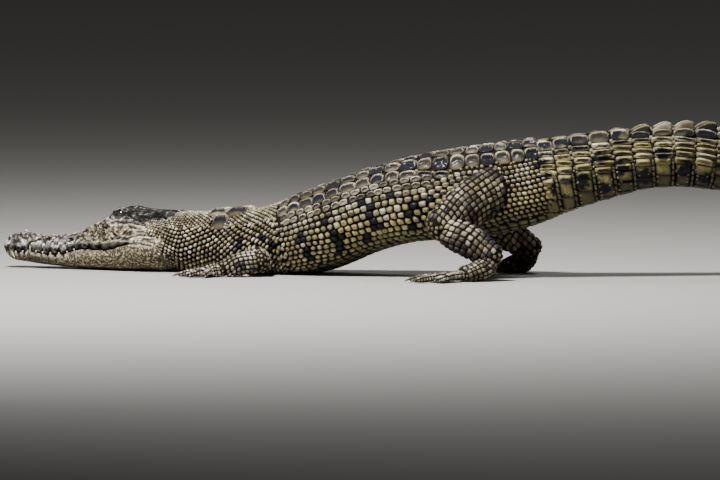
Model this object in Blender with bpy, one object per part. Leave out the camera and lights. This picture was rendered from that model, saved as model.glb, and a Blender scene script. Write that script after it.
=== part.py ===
"""A young saltwater crocodile lying half up a slope, two metres long, as a still life-size model.

Lengths are millimetres until a mesh is made. The animal faces -X, its left side is towards -Y,
and Z is up from the floor. The head is level and straight; behind it the body follows one spine
curve, so each ring of the neck, trunk and tail stands square to that curve. Every visible object
is one closed solid, and neighbours keep a small gap.
"""
import math

import bmesh
import bpy
import numpy as np

MM = 0.001
GAP = 0.3

# Head: a straight level wedge, measured back from the tip of the snout.
SNOUT_TIP = (-587.0, 317.0)
HEAD_YAW = 22.0
HEAD_LENGTH = 308.5
SNOUT_ROUND = 20.0
# Distance from the tip: height of the midline, then half width and height of the crown, of the
# widest part and of the lower edge, then the height of the underside.
HEAD_STATIONS = (
    (8, 49, 10, 47, 21, 36, 17, 22, 15),
    (24, 54.5, 13, 54, 26, 35, 21, 20, 11.5),
    (37, 60.5, 12, 57.5, 25, 36, 21, 19, 10),
    (52, 55.5, 13, 52, 21.5, 38, 21, 18, 8),
    (70, 55, 17, 51, 29, 35, 26, 15, 6),
    (92, 55.5, 20, 50, 34, 33, 30, 13, 4),
    (118, 57.5, 20, 53, 34, 35, 32, 11, 2.5),
    (165, 74, 25, 70, 45.5, 38, 42, 9, 0.5),
    (192, 82, 27, 85, 51.5, 42, 47, 9, 0),
    (210, 88, 29, 98, 56, 44, 51, 8, -0.6),
    (225, 92, 31, 103, 61, 45, 54, 8, -1),
    (241, 94, 33, 99.5, 65, 46, 57, 9, -1.2),
    (275, 94.5, 37, 96, 74, 46, 60, 10, -1.5),
    (300, 95, 39, 95.5, 71, 46, 58, 9, -1.5),
    (308.5, 95.5, 42, 89.6, 69, 47, 48.5, 9.6, -1.5),
)
# Where the jaws part, seen from the side: distance from the tip and height.
MOUTH_LINE = (
    (0, 31), (10, 28), (24, 26), (34, 28), (43, 31), (50, 37), (57, 32), (67, 28), (85, 26.3),
    (100, 26), (116, 26.5), (130, 31), (142, 34.5), (160, 36.5), (189, 35.5), (209, 37),
    (229, 43), (245, 47.5), (269, 49), (288, 44), (299, 25), (304, 4),
)
JAW_LENGTH = 302.0
EYE_PLACE = (213.0, 25.0, 88.8)
EYE_RADIUS = 12.2
EYE_OPENING = (11.0, 9.0, 7.2)
UPPER_TEETH = (9, 17, 26, 35, 44, 58, 70, 85, 100, 116, 130, 144, 160, 176, 192)
LARGEST_TOOTH = 110
TOOTH_LENGTHS = (3.5, 7.0)
TOOTH_RADIUS = 2.4
NOTCH_TOOTH = (51.5, 22.5, 19, 39)

# Spine stations: the middle of the body, then its reach up, down and sideways from there.
SPINE = (
    (-300, 200, 47, 49.5, 48, 69),
    (-256, 181, 48, 48, 49.5, 62),
    (-206, 160, 49, 50, 51, 66),
    (-162, 140, 52, 51.5, 54, 74),
    (-115, 120, 59, 57, 60, 81),
    (-66, 97, 71, 65.5, 66, 86),
    (0, 69, 97.5, 64.6, 64.6, 88),
    (66, 45, 119, 66, 66, 86),
    (132, 22, 132, 70, 70.5, 77.5),
    (198, 6.5, 140, 73, 73, 69),
    (264, -2, 152, 70, 69.5, 59.5),
    (330, -4, 169, 61.5, 62, 51),
    (396, -2, 183.5, 55.5, 55.5, 44.5),
    (478, 3.5, 196.5, 49.5, 49.5, 38),
    (561, 13, 195.5, 49.5, 49.5, 33),
    (635, 36, 178.5, 43, 43, 30),
    (709, 69, 145, 36, 36, 25),
    (784, 115, 102, 29.5, 29.5, 20),
    (850, 170, 64.5, 24, 24, 15.7),
    (907, 231, 39.5, 20, 20, 12.4),
    (957, 297, 25, 16.5, 16.5, 9),
    (993, 366, 14.5, 13, 15, 6.6),
    (1015, 437, 10, 10, 11.5, 4.6),
    (1023, 503, 6.5, 6.5, 7.5, 2.5),
)
# Where the body is parted, as places along X on the spine.
PART_ENDS = {"neck": -168, "trunk": 264, "tail_1": 478, "tail_2": 709, "tail_3": 907}
BODY_SIDES = {"neck": 16, "trunk": 16, "tail_1": 16, "tail_2": 16, "tail_3": 12, "tail_4": 12}
BODY_STEP = {"neck": 21, "trunk": 26, "tail_1": 29, "tail_2": 30, "tail_3": 30, "tail_4": 28}

# Neck shields: distance along the body axis, side offset, length and width of each keeled plate.
NECK_SHIELDS = (
    (77, 16, 32, 26), (77, -16, 32, 26), (84, 44, 32, 24), (84, -44, 32, 24),
    (114, 14, 34, 25), (114, -14, 34, 25),
)
SHIELD_HEIGHT = 13.0

# Tail blades: first whorl with blades, whorl where the two rows become one, and blade heights.
WHORL_PITCH = ((0, 25), (60, 31), (180, 35.5), (480, 33), (850, 24), (1080, 15))
FIRST_BLADE = 5
SINGLE_BLADE = 17
BLADE_HEIGHT = 16.0

# Limbs: the point they are measured from, its yaw, then forward, outward and upward places with
# half thickness across and half height.
SHOULDER_BASE = (-140.2, 130.4)
SHOULDER_YAW = 24.0
HIP_BASE = (231.0, 2.0)
HIP_YAW = 10.0
UPPER_ARM = ((4, 50, 66, 26, 30), (-14, 88, 46, 23, 26), (-35, 118, 28, 19, 21))
FOREARM = ((-35, 118, 27, 16, 17), (-10, 136, 21, 18, 18), (15, 150, 14, 13.5, 12.5))
THIGH = ((-6.6, 37.4, 150, 28, 40), (36, 76, 125, 28, 38), (78.9, 113.5, 90, 23, 27))
SHANK = ((78.9, 113.5, 87, 19, 21), (38, 120, 67, 24, 26), (-4.8, 122, 43, 18, 19))
HEEL = ((-5, 122, 40, 14, 15), (8, 132, 20, 20, 17), (32, 147, 12, 24, 12))
WRIST = ((15, 150, 14, 11, 10), (26, 155, 11, 18, 11), (40, 163, 9, 20, 8))
# Digits: angle outward from straight ahead, then length past the root.
FINGERS = ((-20, 34), (8, 45), (32, 48), (58, 43), (92, 35))
TOES = ((4, 64), (24, 80), (44, 86), (64, 74))
FINGER_ROOT = (30, 158, 9)
TOE_ROOT = (33, 148, 10)
ROOT_SPREAD = {"hand": 13.0, "foot": 20.0}
DIGIT_RADII = {"hand": (6.5, 4.2), "foot": (7.5, 4.6)}
WEB_REACH = {"hand": 0.45, "foot": 0.72}
WEB_THICKNESS = 2.4
CLAW_LENGTH = 14.0
CLAW_RADIUS = 3.2
CLAWED_DIGITS = 3
FOOT_SHARE_KEPT = 0.34
ARM_SHIFTS = {"left": 10.0, "right": 26.0}
LEG_SHIFTS = {"left": 0.0, "right": -24.0}

HIDE = (0.36, 0.33, 0.24)
PALE_HIDE = (0.62, 0.58, 0.45)
DARK_HIDE = (0.24, 0.22, 0.17)
CLAW_HORN = (0.07, 0.06, 0.05)
EYE_COLOUR = (0.30, 0.22, 0.09)


def cubic_through(knots, values, first_slope, at):
    """Cubic spline through the values, with a set slope at its start and no bend at its end."""
    count = len(knots)
    step = np.diff(knots)
    rise = np.diff(values, axis=0) / step[:, None]
    matrix = np.zeros((count, count))
    wanted = np.zeros_like(values)
    matrix[0, :2] = 2 * step[0], step[0]
    wanted[0] = 6 * (rise[0] - first_slope)
    for i in range(1, count - 1):
        matrix[i, i - 1:i + 2] = step[i - 1], 2 * (step[i - 1] + step[i]), step[i]
        wanted[i] = 6 * (rise[i] - rise[i - 1])
    matrix[-1, -1] = 1
    bend = np.linalg.solve(matrix, wanted)
    k = np.clip(np.searchsorted(knots, at) - 1, 0, count - 2)
    width = step[k][:, None]
    a = (knots[k + 1] - at)[:, None] / width
    b = 1 - a
    curve = a * values[k] + b * values[k + 1]
    return curve + ((a**3 - a) * bend[k] + (b**3 - b) * bend[k + 1]) * width**2 / 6


def smooth_through(knots, values, at):
    """Monotone cubic through the values: it never swings past them."""
    knots = np.asarray(knots, float)
    values = np.asarray(values, float)
    at = np.clip(at, knots[0], knots[-1])
    step = np.diff(knots)[:, None]
    rise = np.diff(values, axis=0) / step
    before, after = rise[:-1], rise[1:]
    w1, w2 = 2 * step[1:] + step[:-1], step[1:] + 2 * step[:-1]
    turning = before * after <= 0
    safe_before = np.where(turning, 1, before)
    safe_after = np.where(turning, 1, after)
    slope = np.zeros_like(values)
    slope[1:-1] = np.where(turning, 0, (w1 + w2) / (w1 / safe_before + w2 / safe_after))
    slope[0], slope[-1] = rise[0], rise[-1]
    k = np.clip(np.searchsorted(knots, at) - 1, 0, len(knots) - 2)
    h = step[k]
    t = (at - knots[k])[:, None] / h
    one = (1 + 2 * t) * (1 - t) ** 2 * values[k] + t * (1 - t) ** 2 * h * slope[k]
    return one + t**2 * (3 - 2 * t) * values[k + 1] + t**2 * (t - 1) * h * slope[k + 1]


def closed_outline(corners, sides):
    """Closed smooth outline through the corners, read at even steps."""
    corners = np.asarray(corners, float)
    count = len(corners)
    place = np.arange(sides) * count / sides
    k = place.astype(int)
    t = (place - k)[:, None]
    p0, p1 = corners[(k - 1) % count], corners[k % count]
    p2, p3 = corners[(k + 1) % count], corners[(k + 2) % count]
    return 0.5 * (2 * p1 + (p2 - p0) * t + (2 * p0 - 5 * p1 + 4 * p2 - p3) * t**2
                  + (3 * p1 - p0 - 3 * p2 + p3) * t**3)


# ---- the spine, as distances along the body behind the head ----

spine = np.array(SPINE, float)
chords = np.linalg.norm(np.diff(spine[:, :3], axis=0), axis=1)
knots = np.concatenate([[0], np.cumsum(chords)])
BODY_LENGTH = knots[-1]
yaw = math.radians(HEAD_YAW)
BACK = np.array([math.cos(yaw), -math.sin(yaw), 0])
HEAD_LEFT = np.array([-math.sin(yaw), -math.cos(yaw), 0])


def spine_at(distance):
    """Middle, backward, left and up directions, and half sizes at distances along the body."""
    distance = np.atleast_1d(np.asarray(distance, float))
    middle = cubic_through(knots, spine[:, :3], BACK, distance)
    ahead = cubic_through(knots, spine[:, :3], BACK, distance - 0.5)
    behind = cubic_through(knots, spine[:, :3], BACK, distance + 0.5)
    back = behind - ahead
    back /= np.linalg.norm(back, axis=1)[:, None]
    left = np.cross(back, (0, 0, 1))
    left /= np.linalg.norm(left, axis=1)[:, None]
    up = np.cross(left, back)
    return middle, back, left, up, smooth_through(knots, spine[:, 3:], distance)


def body_ring(distance, sides, grow):
    """One ring of the neck, trunk or tail, its underside flattened where it meets the floor."""
    middle, back, left, up, size = (value[0] for value in spine_at(distance))
    above, below, wide = size + grow
    corners = [(0, above), (0.62 * wide, 0.86 * above), (wide, 0), (0.7 * wide, -0.78 * below),
               (0, -below), (-0.7 * wide, -0.78 * below), (-wide, 0), (-0.62 * wide, 0.86 * above)]
    outline = closed_outline(corners, sides)
    ring = middle + outline[:, :1] * left + outline[:, 1:] * up
    ring[:, 2] = np.maximum(ring[:, 2], -grow)
    return ring


def loft(rings, front, rear):
    """Triangles over a row of rings, closed by a fan at each end."""
    count = len(rings[0])
    points = np.concatenate([np.concatenate(rings), [front, rear]])
    faces = []
    for i in range(len(rings) - 1):
        for j in range(count):
            a = i * count + j
            b = i * count + (j + 1) % count
            faces.append((a, b, b + count))
            faces.append((a, b + count, a + count))
    nose, tail = len(points) - 2, len(points) - 1
    last = (len(rings) - 1) * count
    for j in range(count):
        k = (j + 1) % count
        faces.append((nose, k, j))
        faces.append((tail, last + j, last + k))
    return points, faces


def body_length_at(x):
    """Distance along the body at which the spine reaches a place along X."""
    return float(np.interp(x, spine[:, 0], knots))


def add_object(name, points, faces, where):
    """Put a mesh, given in millimetres, into a collection as a closed outward-facing object."""
    mesh = bpy.data.meshes.new(name)
    mesh.from_pydata([tuple(p) for p in np.asarray(points) * MM], [], faces)
    shape = bmesh.new()
    shape.from_mesh(mesh)
    bmesh.ops.remove_doubles(shape, verts=shape.verts, dist=0.00001)
    bmesh.ops.recalc_face_normals(shape, faces=shape.faces)
    if shape.calc_volume(signed=True) < 0:
        bmesh.ops.reverse_faces(shape, faces=shape.faces)
    shape.to_mesh(mesh)
    shape.free()
    made = bpy.data.objects.new(name, mesh)
    where.objects.link(made)
    if where is cutters:
        made.hide_render = True
        made.display_type = "WIRE"
    return made


def settle(part):
    """Keep the shape that a part's modifiers give, and drop the modifiers."""
    graph = bpy.context.evaluated_depsgraph_get()
    result = bpy.data.meshes.new_from_object(part.evaluated_get(graph))
    part.modifiers.clear()
    part.data = result


def apply_tool(part, tool, operation):
    """Join a tool's shape to the part, or take it away, and drop the tool."""
    change = part.modifiers.new(operation, "BOOLEAN")
    change.operation = operation
    change.solver = "EXACT"
    change.object = tool
    settle(part)
    bpy.data.objects.remove(tool)


def drop_slivers(part):
    """Keep the largest connected body of a part, without the slivers that a cut can leave."""
    shape = bmesh.new()
    shape.from_mesh(part.data)
    left = set(shape.verts)
    bodies = []
    while left:
        reached = [left.pop()]
        for vertex in reached:
            near = {edge.other_vert(vertex) for edge in vertex.link_edges} & left
            left -= near
            reached.extend(near)
        bodies.append(reached)
    bodies.sort(key=len)
    bmesh.ops.delete(shape, geom=[vertex for body in bodies[:-1] for vertex in body], context="VERTS")
    shape.to_mesh(part.data)
    shape.free()


def thin_out(part, share):
    """Collapse edges until a share of the triangles is left."""
    change = part.modifiers.new("fewer", "DECIMATE")
    change.ratio = share
    settle(part)


def solid(name, shape):
    """A finished node's object, from points and faces."""
    return add_object(name, *shape, parts)


def cut_away(part, shape):
    apply_tool(part, add_object(part.name + "_cutter", *shape, cutters), "DIFFERENCE")
    drop_slivers(part)


def join_on(part, shape):
    apply_tool(part, add_object(part.name + "_joined", *shape, cutters), "UNION")


def several(shapes):
    """Several closed shapes that don't touch, as one list of points and faces."""
    points, faces, start = [], [], 0
    for some_points, some_faces in shapes:
        points.append(some_points)
        faces += [tuple(start + i for i in face) for face in some_faces]
        start += len(some_points)
    return np.concatenate(points), faces


def primitive(maker, **settings):
    """Points and faces of one of Blender's primitive shapes."""
    shape = bmesh.new()
    maker(shape, **settings)
    points = np.array([v.co for v in shape.verts])
    faces = [tuple(v.index for v in face.verts) for face in shape.faces]
    shape.free()
    return points, faces


# ---- neck, trunk and tail ----

def body_part(name, begin, end, grow=0.0):
    """A length of the body between two distances along it."""
    steps = max(2, round((end - begin) / BODY_STEP[name]))
    places = np.linspace(begin, end, steps + 1)
    rings = [body_ring(place, BODY_SIDES[name], grow) for place in places]
    front, rear = rings[0].mean(axis=0), rings[-1].mean(axis=0)
    if name == "tail_4":
        rear = rear + spine_at(end)[1][0] * 3
    return loft(rings, front, rear)


def body_spans():
    """Start and end of each length of the body, with the gap between neighbours taken out."""
    spans, begin = {}, 0.0
    for name, x in list(PART_ENDS.items()) + [("tail_4", None)]:
        end = BODY_LENGTH if x is None else body_length_at(x)
        spans[name] = (begin + GAP / 2, end if x is None else end - GAP / 2)
        begin = end
    return spans


def whorl_places():
    """Distances behind the vent of the tail's whorls, which shorten towards the tip."""
    start = body_length_at(PART_ENDS["trunk"])
    pitch_at, pitch = np.array(WHORL_PITCH, float).T
    places = [0.0]
    while start + places[-1] < BODY_LENGTH - 20:
        places.append(places[-1] + float(np.interp(places[-1], pitch_at, pitch)))
    return start + np.array(places)


def wedge(place, back, left, up, length, width, height, lean):
    """A keeled plate: a box whose top is drawn in to a ridge and pushed backward."""
    points, faces = primitive(bmesh.ops.create_cube, size=1.0)
    top = points[:, 2] > 0
    along = points[:, 0] * length * np.where(top, 0.6, 1.0) + np.where(top, lean, 0)
    across = points[:, 1] * width * np.where(top, 0.0, 1.0)
    rise = np.where(top, height, -3.0)
    return place + along[:, None] * back + across[:, None] * left + rise[:, None] * up, faces


def tail_blades(begin, end):
    """The upright blades of the tail's crest between two distances along the body."""
    blades = []
    whorls = whorl_places()
    for i in range(FIRST_BLADE, len(whorls) - 1):
        front, rear = whorls[i], whorls[i + 1]
        if front < begin or rear > end:
            continue
        middle, back, left, up, size = (value[0] for value in spine_at((front + rear) / 2))
        growth = min(1.0, (i - FIRST_BLADE + 1) / 6)
        height = BLADE_HEIGHT * growth * min(1.0, size[0] / 30 + 0.1)
        length = rear - front - 1.5
        offsets = (0,) if i >= SINGLE_BLADE else (0.36 * size[2], -0.36 * size[2])
        for offset in offsets:
            drop = 0.05 * size[0] if offset else 0
            place = middle + offset * left + (size[0] - drop) * up
            blades.append(wedge(place, back, left, up, length, 5, height, 0.16 * length))
    return blades


def neck_shields():
    """The six keeled shields on the back of the neck."""
    shields = []
    for distance, offset, length, width in NECK_SHIELDS:
        middle, back, left, up, size = (value[0] for value in spine_at(distance))
        tilt = math.asin(offset / size[2]) * 0.75
        outward = math.cos(tilt) * up + math.sin(tilt) * left
        across = math.cos(tilt) * left - math.sin(tilt) * up
        drop = size[0] * (offset / size[2]) ** 2 * 0.62
        place = middle + offset * left + (size[0] - drop - 1) * up
        shields.append(wedge(place, back, across, outward, length, width, SHIELD_HEIGHT, 2))
    return shields


def make_body():
    made = {}
    for name, (begin, end) in body_spans().items():
        made[name] = solid(name, body_part(name, begin, end))
        if name == "neck":
            for shield in neck_shields():
                join_on(made[name], shield)
        blades = tail_blades(begin, end)
        if blades:
            join_on(made[name], several(blades))
        paint(made[name], "hide", HIDE, 0.55)
    return made


# ---- head and lower jaw ----

def head_point(t, side, height):
    """World place of a point of the head: distance from the tip, offset to the left, height."""
    tip = np.array([*SNOUT_TIP, 0])
    return tip + t * BACK + side * HEAD_LEFT + height * np.array([0, 0, 1])


def head_outline(t, count=96):
    """Half width and height round the head at a distance from the tip."""
    table = np.array(HEAD_STATIONS, float)
    top, wc, zc, wm, zm, wl, zl, bottom = smooth_through(table[:, 0], table[:, 1:], [t])[0]
    corners = [(0, top), (wc, zc), (wm, zm), (wl, zl), (0, bottom), (-wl, zl), (-wm, zm), (-wc, zc)]
    outline = closed_outline(corners, count)
    if t < SNOUT_ROUND:
        middle = np.array([0, (top + bottom) / 2])
        outline = middle + (outline - middle) * math.sqrt(1 - (1 - t / SNOUT_ROUND) ** 2)
    return outline


def mouth_height(t, offset):
    """Height of the line where the jaws part, moved by a distance square to that line."""
    line = np.array(MOUTH_LINE, float)
    slope = np.gradient(line, axis=0)
    normal = np.stack([-slope[:, 1], slope[:, 0]], axis=1)
    normal /= np.linalg.norm(normal, axis=1)[:, None]
    moved = line + offset * normal
    return float(np.interp(t, moved[:, 0], moved[:, 1]))


def part_of_outline(outline, level, upper, steps):
    """The part of an outline above or below a level, at even steps along it, with a flat floor."""
    ahead = np.roll(outline, -1, axis=0)
    crossing = (outline[:, 1] - level) * (ahead[:, 1] - level) < 0
    share = (level - outline[:, 1]) / np.where(crossing, ahead[:, 1] - outline[:, 1], 1)
    hits = outline + share[:, None] * (ahead - outline)
    right, left = sorted(hits[crossing], key=lambda hit: -hit[0])
    inside = outline[outline[:, 1] > level] if upper else outline[outline[:, 1] < level]
    inside = inside[np.argsort(np.arctan2(inside[:, 0], (inside[:, 1] - level) * (1 if upper else -1)))]
    line = np.concatenate([[left], inside, [right]])
    reach = np.concatenate([[0], np.cumsum(np.linalg.norm(np.diff(line, axis=0), axis=1))])
    even = np.linspace(0, reach[-1], steps + 1)
    curve = np.stack([np.interp(even, reach, line[:, i]) for i in (0, 1)], axis=1)
    back = np.linspace(curve[-1], curve[0], 5)[1:-1]
    return np.concatenate([curve, back])


def jaw_rings(upper, reach):
    """Rings of the head above the mouth line, or of the lower jaw below it."""
    places = [0.8, 4, 10, 18, 27, 36, 43, 50, 57, 67] + list(np.arange(86, 190, 20.5))
    places += [192, 201, 210, 219, 228, 239, 252, 266, 278, 288, 299, 302, 304, reach]
    rings = []
    for t in [place for place in places if place <= reach]:
        outline = head_outline(t)
        level = mouth_height(t, GAP if upper else -GAP)
        ring = part_of_outline(outline, max(level, 2.0), upper, 12 if upper else 8)
        ring[:, 1] = np.maximum(ring[:, 1], 0)
        rings.append(np.array([head_point(t, side, height) for side, height in ring]))
    return rings


def cone(root, tip, radius, sides=4):
    """A closed cone from a root point to a tip."""
    points, faces = primitive(bmesh.ops.create_cone, cap_ends=True, segments=sides,
                              radius1=radius, radius2=0.0, depth=1.0)
    axis = np.asarray(tip, float) - root
    across = np.cross(axis, (0.3, 0.2, 0.9))
    across /= np.linalg.norm(across)
    other = np.cross(axis, across) / np.linalg.norm(axis)
    return root + points[:, :1] * across + points[:, 1:2] * other + (points[:, 2:] + 0.5) * axis, faces


def upper_teeth(grow=0.0):
    """The teeth that hang outside the lower jaw, largest at the bulge of the snout."""
    teeth = []
    for t in UPPER_TEETH:
        level = mouth_height(t, 0)
        outline = head_outline(t)
        above = outline[(outline[:, 1] > level) & (outline[:, 1] < level + 6)]
        side = above[:, 0].max() - 1.6
        share = math.exp(-((t - LARGEST_TOOTH) / 26) ** 2)
        length = TOOTH_LENGTHS[0] + (TOOTH_LENGTHS[1] - TOOTH_LENGTHS[0]) * share
        for hand in (1, -1):
            root = head_point(t, hand * side, level + 4 + grow)
            tip = head_point(t, hand * (side + 0.5), level - length - 2 * grow)
            teeth.append(cone(root, tip, TOOTH_RADIUS + grow))
    return teeth


def notch_teeth(grow=0.0):
    """The lower tooth that stands in the notch on each side of the snout."""
    t, side, low, high = NOTCH_TOOTH
    return [cone(head_point(t, hand * side, low - grow), head_point(t, hand * (side - 1.5), high + 2 * grow),
                 3.2 + grow) for hand in (1, -1)]


def eyeball(hand, grow=0.0):
    points, faces = primitive(bmesh.ops.create_uvsphere, u_segments=12, v_segments=7,
                              radius=EYE_RADIUS + grow)
    t, side, height = EYE_PLACE
    return points + head_point(t, hand * side, height), faces


def eye_opening(hand):
    """The slot between the lids, wide open to the side of the head."""
    points, faces = primitive(bmesh.ops.create_uvsphere, u_segments=10, v_segments=6, radius=1.0)
    t, side, height = EYE_PLACE
    along, across, high = (points * EYE_OPENING).T
    middle = head_point(t, hand * (side + 12), height + 1.5)
    place = middle + along[:, None] * BACK + across[:, None] * HEAD_LEFT
    return place + high[:, None] * np.array([0, 0, 1]), faces


def make_head():
    rear = HEAD_LENGTH - GAP / 2
    rings = jaw_rings(True, rear)
    head = solid("head", loft(rings, head_point(0.2, 0, 36), rings[-1].mean(axis=0)))
    rings = jaw_rings(False, JAW_LENGTH)
    jaw = solid("lower_jaw", loft(rings, head_point(0.4, 0, 27), rings[-1].mean(axis=0)))
    join_on(head, several(upper_teeth()))
    cut_away(jaw, several(upper_teeth(GAP)))
    join_on(jaw, several(notch_teeth()))
    cut_away(head, several(notch_teeth(GAP)))
    for side, hand in (("left", 1), ("right", -1)):
        cut_away(head, eyeball(hand, GAP))
        cut_away(head, eye_opening(hand))
        eye = solid("eye_" + side, eyeball(hand))
        paint(eye, "eye", EYE_COLOUR, 0.08)
    paint(head, "head_hide", HIDE, 0.5)
    paint(jaw, "pale_hide", PALE_HIDE, 0.5)
    return {"head": head, "lower_jaw": jaw}


# ---- limbs ----

def limb_frame(base, yaw_degrees, hand, shift):
    """A function from forward, outward and upward places of one limb to the world."""
    angle = math.radians(yaw_degrees)
    forward = np.array([-math.cos(angle), math.sin(angle), 0])
    left = np.array([-math.sin(angle), -math.cos(angle), 0])
    base = np.array([*base, 0.0])

    def place(point):
        ahead, outward, height = np.asarray(point, float).T
        flat = base + np.multiply.outer(ahead + shift, forward)
        return flat + np.multiply.outer(outward * hand, left) + np.multiply.outer(height, (0, 0, 1))

    return place


def limb_tube(place, stations, grow=0.0, sides=10, steps=5, floor=True):
    """A rounded limb through its stations, each given with a half width and a half height."""
    table = np.array(stations, float)
    middle = place(table[:, :3])
    reach = np.concatenate([[0], np.cumsum(np.linalg.norm(np.diff(middle, axis=0), axis=1))])
    even = np.linspace(0, reach[-1], steps)
    line = smooth_through(reach, np.concatenate([middle, table[:, 3:]], axis=1), even)
    back = np.gradient(line[:, :3], axis=0)
    back /= np.linalg.norm(back, axis=1)[:, None]
    rings = []
    turn = np.arange(sides) * math.tau / sides
    # Two shrinking rings round off the end like a ball.
    last = steps - 1
    plan = [(i, 0, 1) for i in range(steps)] + [(last, 0.6, 0.8), (last, 0.92, 0.4)]
    for i, past, size in plan:
        wide, high = line[i, 3:] + grow
        across = np.cross(back[i], (0, 0, 1))
        across /= np.linalg.norm(across)
        upward = np.cross(across, back[i])
        centre = line[i, :3] + past * min(wide, high) * back[i]
        ring = (centre + np.outer(np.cos(turn) * wide * size, across)
                + np.outer(np.sin(turn) * high * size, upward))
        if floor:
            ring[:, 2] = np.maximum(ring[:, 2], -grow)
        rings.append(ring)
    return loft(rings, rings[0].mean(axis=0), rings[-1].mean(axis=0))


def digit_lines(kind):
    """Root and tip of each finger or toe, in the limb's own places."""
    digits = FINGERS if kind == "hand" else TOES
    root = np.array(FINGER_ROOT if kind == "hand" else TOE_ROOT, float)
    lines = []
    for angle, length in digits:
        turn = math.radians(angle)
        ahead = np.array([math.cos(turn), math.sin(turn), 0])
        start = root + ahead * ROOT_SPREAD[kind] * 0.5
        tip = start + ahead * length
        tip[2] = DIGIT_RADII[kind][1]
        lines.append((start, tip, ahead))
    return lines


def claw_shape(place, tip, ahead, grow=0.0):
    """A claw that starts inside the end of a digit and slopes to just above the floor."""
    root = tip - ahead * 1.5 + np.array([0, 0, 1.2])
    point = tip + ahead * CLAW_LENGTH
    point[2] = 1.6
    return cone(place(root), place(point), CLAW_RADIUS + grow, 6)


def web_plate(place, lines, reach):
    """The thin web between the digits: a flat star with a hollow edge from digit to digit."""
    tips = [start + (tip - start) * reach for start, tip, _ in lines]
    hollows = [(a + b) * 0.44 + (lines[0][0] + lines[-1][0]) * 0.06 for a, b in zip(tips[:-1], tips[1:])]
    edge = [tips[0]]
    for hollow, tip in zip(hollows, tips[1:]):
        edge += [hollow, tip]
    centre = (lines[0][0] + lines[-1][0]) / 2 - (lines[0][2] + lines[-1][2]) * 5
    flat = np.array([[x, y, 4.2] for x, y, _ in [centre] + edge])
    count = len(flat)
    faces = [(0, i, i + 1) for i in range(1, count - 1)]
    faces += [(count, count + i + 1, count + i) for i in range(1, count - 1)]
    faces += [(i, (i + 1) % count, (i + 1) % count + count, i + count) for i in range(count)]
    return np.concatenate([place(flat), place(flat + [0, 0, WEB_THICKNESS])]), faces


def foot_shape(name, place, kind, root_stations, neighbour):
    """A hand or foot: a palm, digits and webs joined, flat where they stand, clawed in front."""
    foot = solid(name, limb_tube(place, root_stations, sides=10, steps=4, floor=False))
    thick, thin = DIGIT_RADII[kind]
    lines = digit_lines(kind)
    join_on(foot, web_plate(place, lines, WEB_REACH[kind]))
    for start, tip, ahead in lines:
        middle = (start + tip) / 2 + np.array([0, 0, 1.5])
        stations = ((*start, thick + 1, thick), (*middle, thick - 1.2, thick - 1),
                    (*(tip - ahead * 4), thin, thin))
        join_on(foot, limb_tube(place, stations, sides=6, steps=3, floor=False))
    thin_out(foot, FOOT_SHARE_KEPT)
    for tool in neighbour:
        cut_away(foot, tool)
    box, faces = primitive(bmesh.ops.create_cube, size=1.0)
    cut_away(foot, (box * (600, 600, 60) + place((0, 150, -30.0)), faces))
    for i in range(CLAWED_DIGITS):
        start, tip, ahead = lines[i]
        cut_away(foot, claw_shape(place, tip, ahead, GAP))
        claw = solid(f"{name}_claw_{i + 1}", claw_shape(place, tip, ahead))
        paint(claw, "claw", CLAW_HORN, 0.35)
    return foot


def make_limb(side, hand, names, base, angle, shift, tables, kind, spans, neighbours):
    """An arm or leg from its root to its claws, each piece cut to its neighbours' shapes."""
    place = limb_frame(base, angle, hand, shift)
    body = [body_part(name, spans[name][0] - 3, spans[name][1] + 3, GAP) for name in neighbours]
    root = solid(f"{names[0]}_{side}", limb_tube(place, tables[0]))
    for tool in body:
        cut_away(root, tool)
    lower = solid(f"{names[1]}_{side}", limb_tube(place, tables[1]))
    for tool in [limb_tube(place, tables[0], GAP), *body]:
        cut_away(lower, tool)
    last_tools = [limb_tube(place, tables[1], GAP), limb_tube(place, tables[0], GAP)]
    last = foot_shape(f"{names[2]}_{side}", place, kind, tables[2], last_tools)
    for piece in (root, lower, last):
        paint(piece, "leg_hide", DARK_HIDE, 0.55)


def make_limbs():
    spans = body_spans()
    for side, hand in (("left", 1), ("right", -1)):
        make_limb(side, hand, ("upper_arm", "forearm", "hand"), SHOULDER_BASE, SHOULDER_YAW,
                  ARM_SHIFTS[side], (UPPER_ARM, FOREARM, WRIST), "hand", spans, ("neck", "trunk"))
        make_limb(side, hand, ("thigh", "shank", "foot"), HIP_BASE, HIP_YAW,
                  LEG_SHIFTS[side], (THIGH, SHANK, HEEL), "foot", spans, ("trunk", "tail_1"))


# ---- materials and the whole ----

def paint(part, name, colour, roughness):
    """Give a part its finish, made once for each name."""
    finish = bpy.data.materials.get(name)
    if finish is None:
        finish = bpy.data.materials.new(name)
        finish.use_nodes = True
        shader = finish.node_tree.nodes["Principled BSDF"]
        shader.inputs["Base Color"].default_value = (*colour, 1)
        shader.inputs["Roughness"].default_value = roughness
        shader.inputs["Metallic"].default_value = 0.0
        finish.diffuse_color = (*colour, 1)
    part.data.materials.clear()
    part.data.materials.append(finish)


def centre_on_origin():
    """Hang every part on one empty whose place puts the box's bottom centre at the origin."""
    corners = np.array([part.matrix_world @ vertex.co for part in parts.objects
                        for vertex in part.data.vertices])
    low, high = corners.min(axis=0), corners.max(axis=0)
    stand = bpy.data.objects.new("crocodile_root", None)
    stand.location = (-(low[0] + high[0]) / 2, -(low[1] + high[1]) / 2, -low[2])
    for part in list(parts.objects):
        part.parent = stand
    parts.objects.link(stand)


for old in list(bpy.data.objects):
    bpy.data.objects.remove(old)
parts = bpy.data.collections.new("saltwater_crocodile")
cutters = bpy.data.collections.new("cutters")
for group in (parts, cutters):
    bpy.context.scene.collection.children.link(group)

make_body()
make_head()
make_limbs()
centre_on_origin()
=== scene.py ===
import math
from functools import partial

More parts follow.
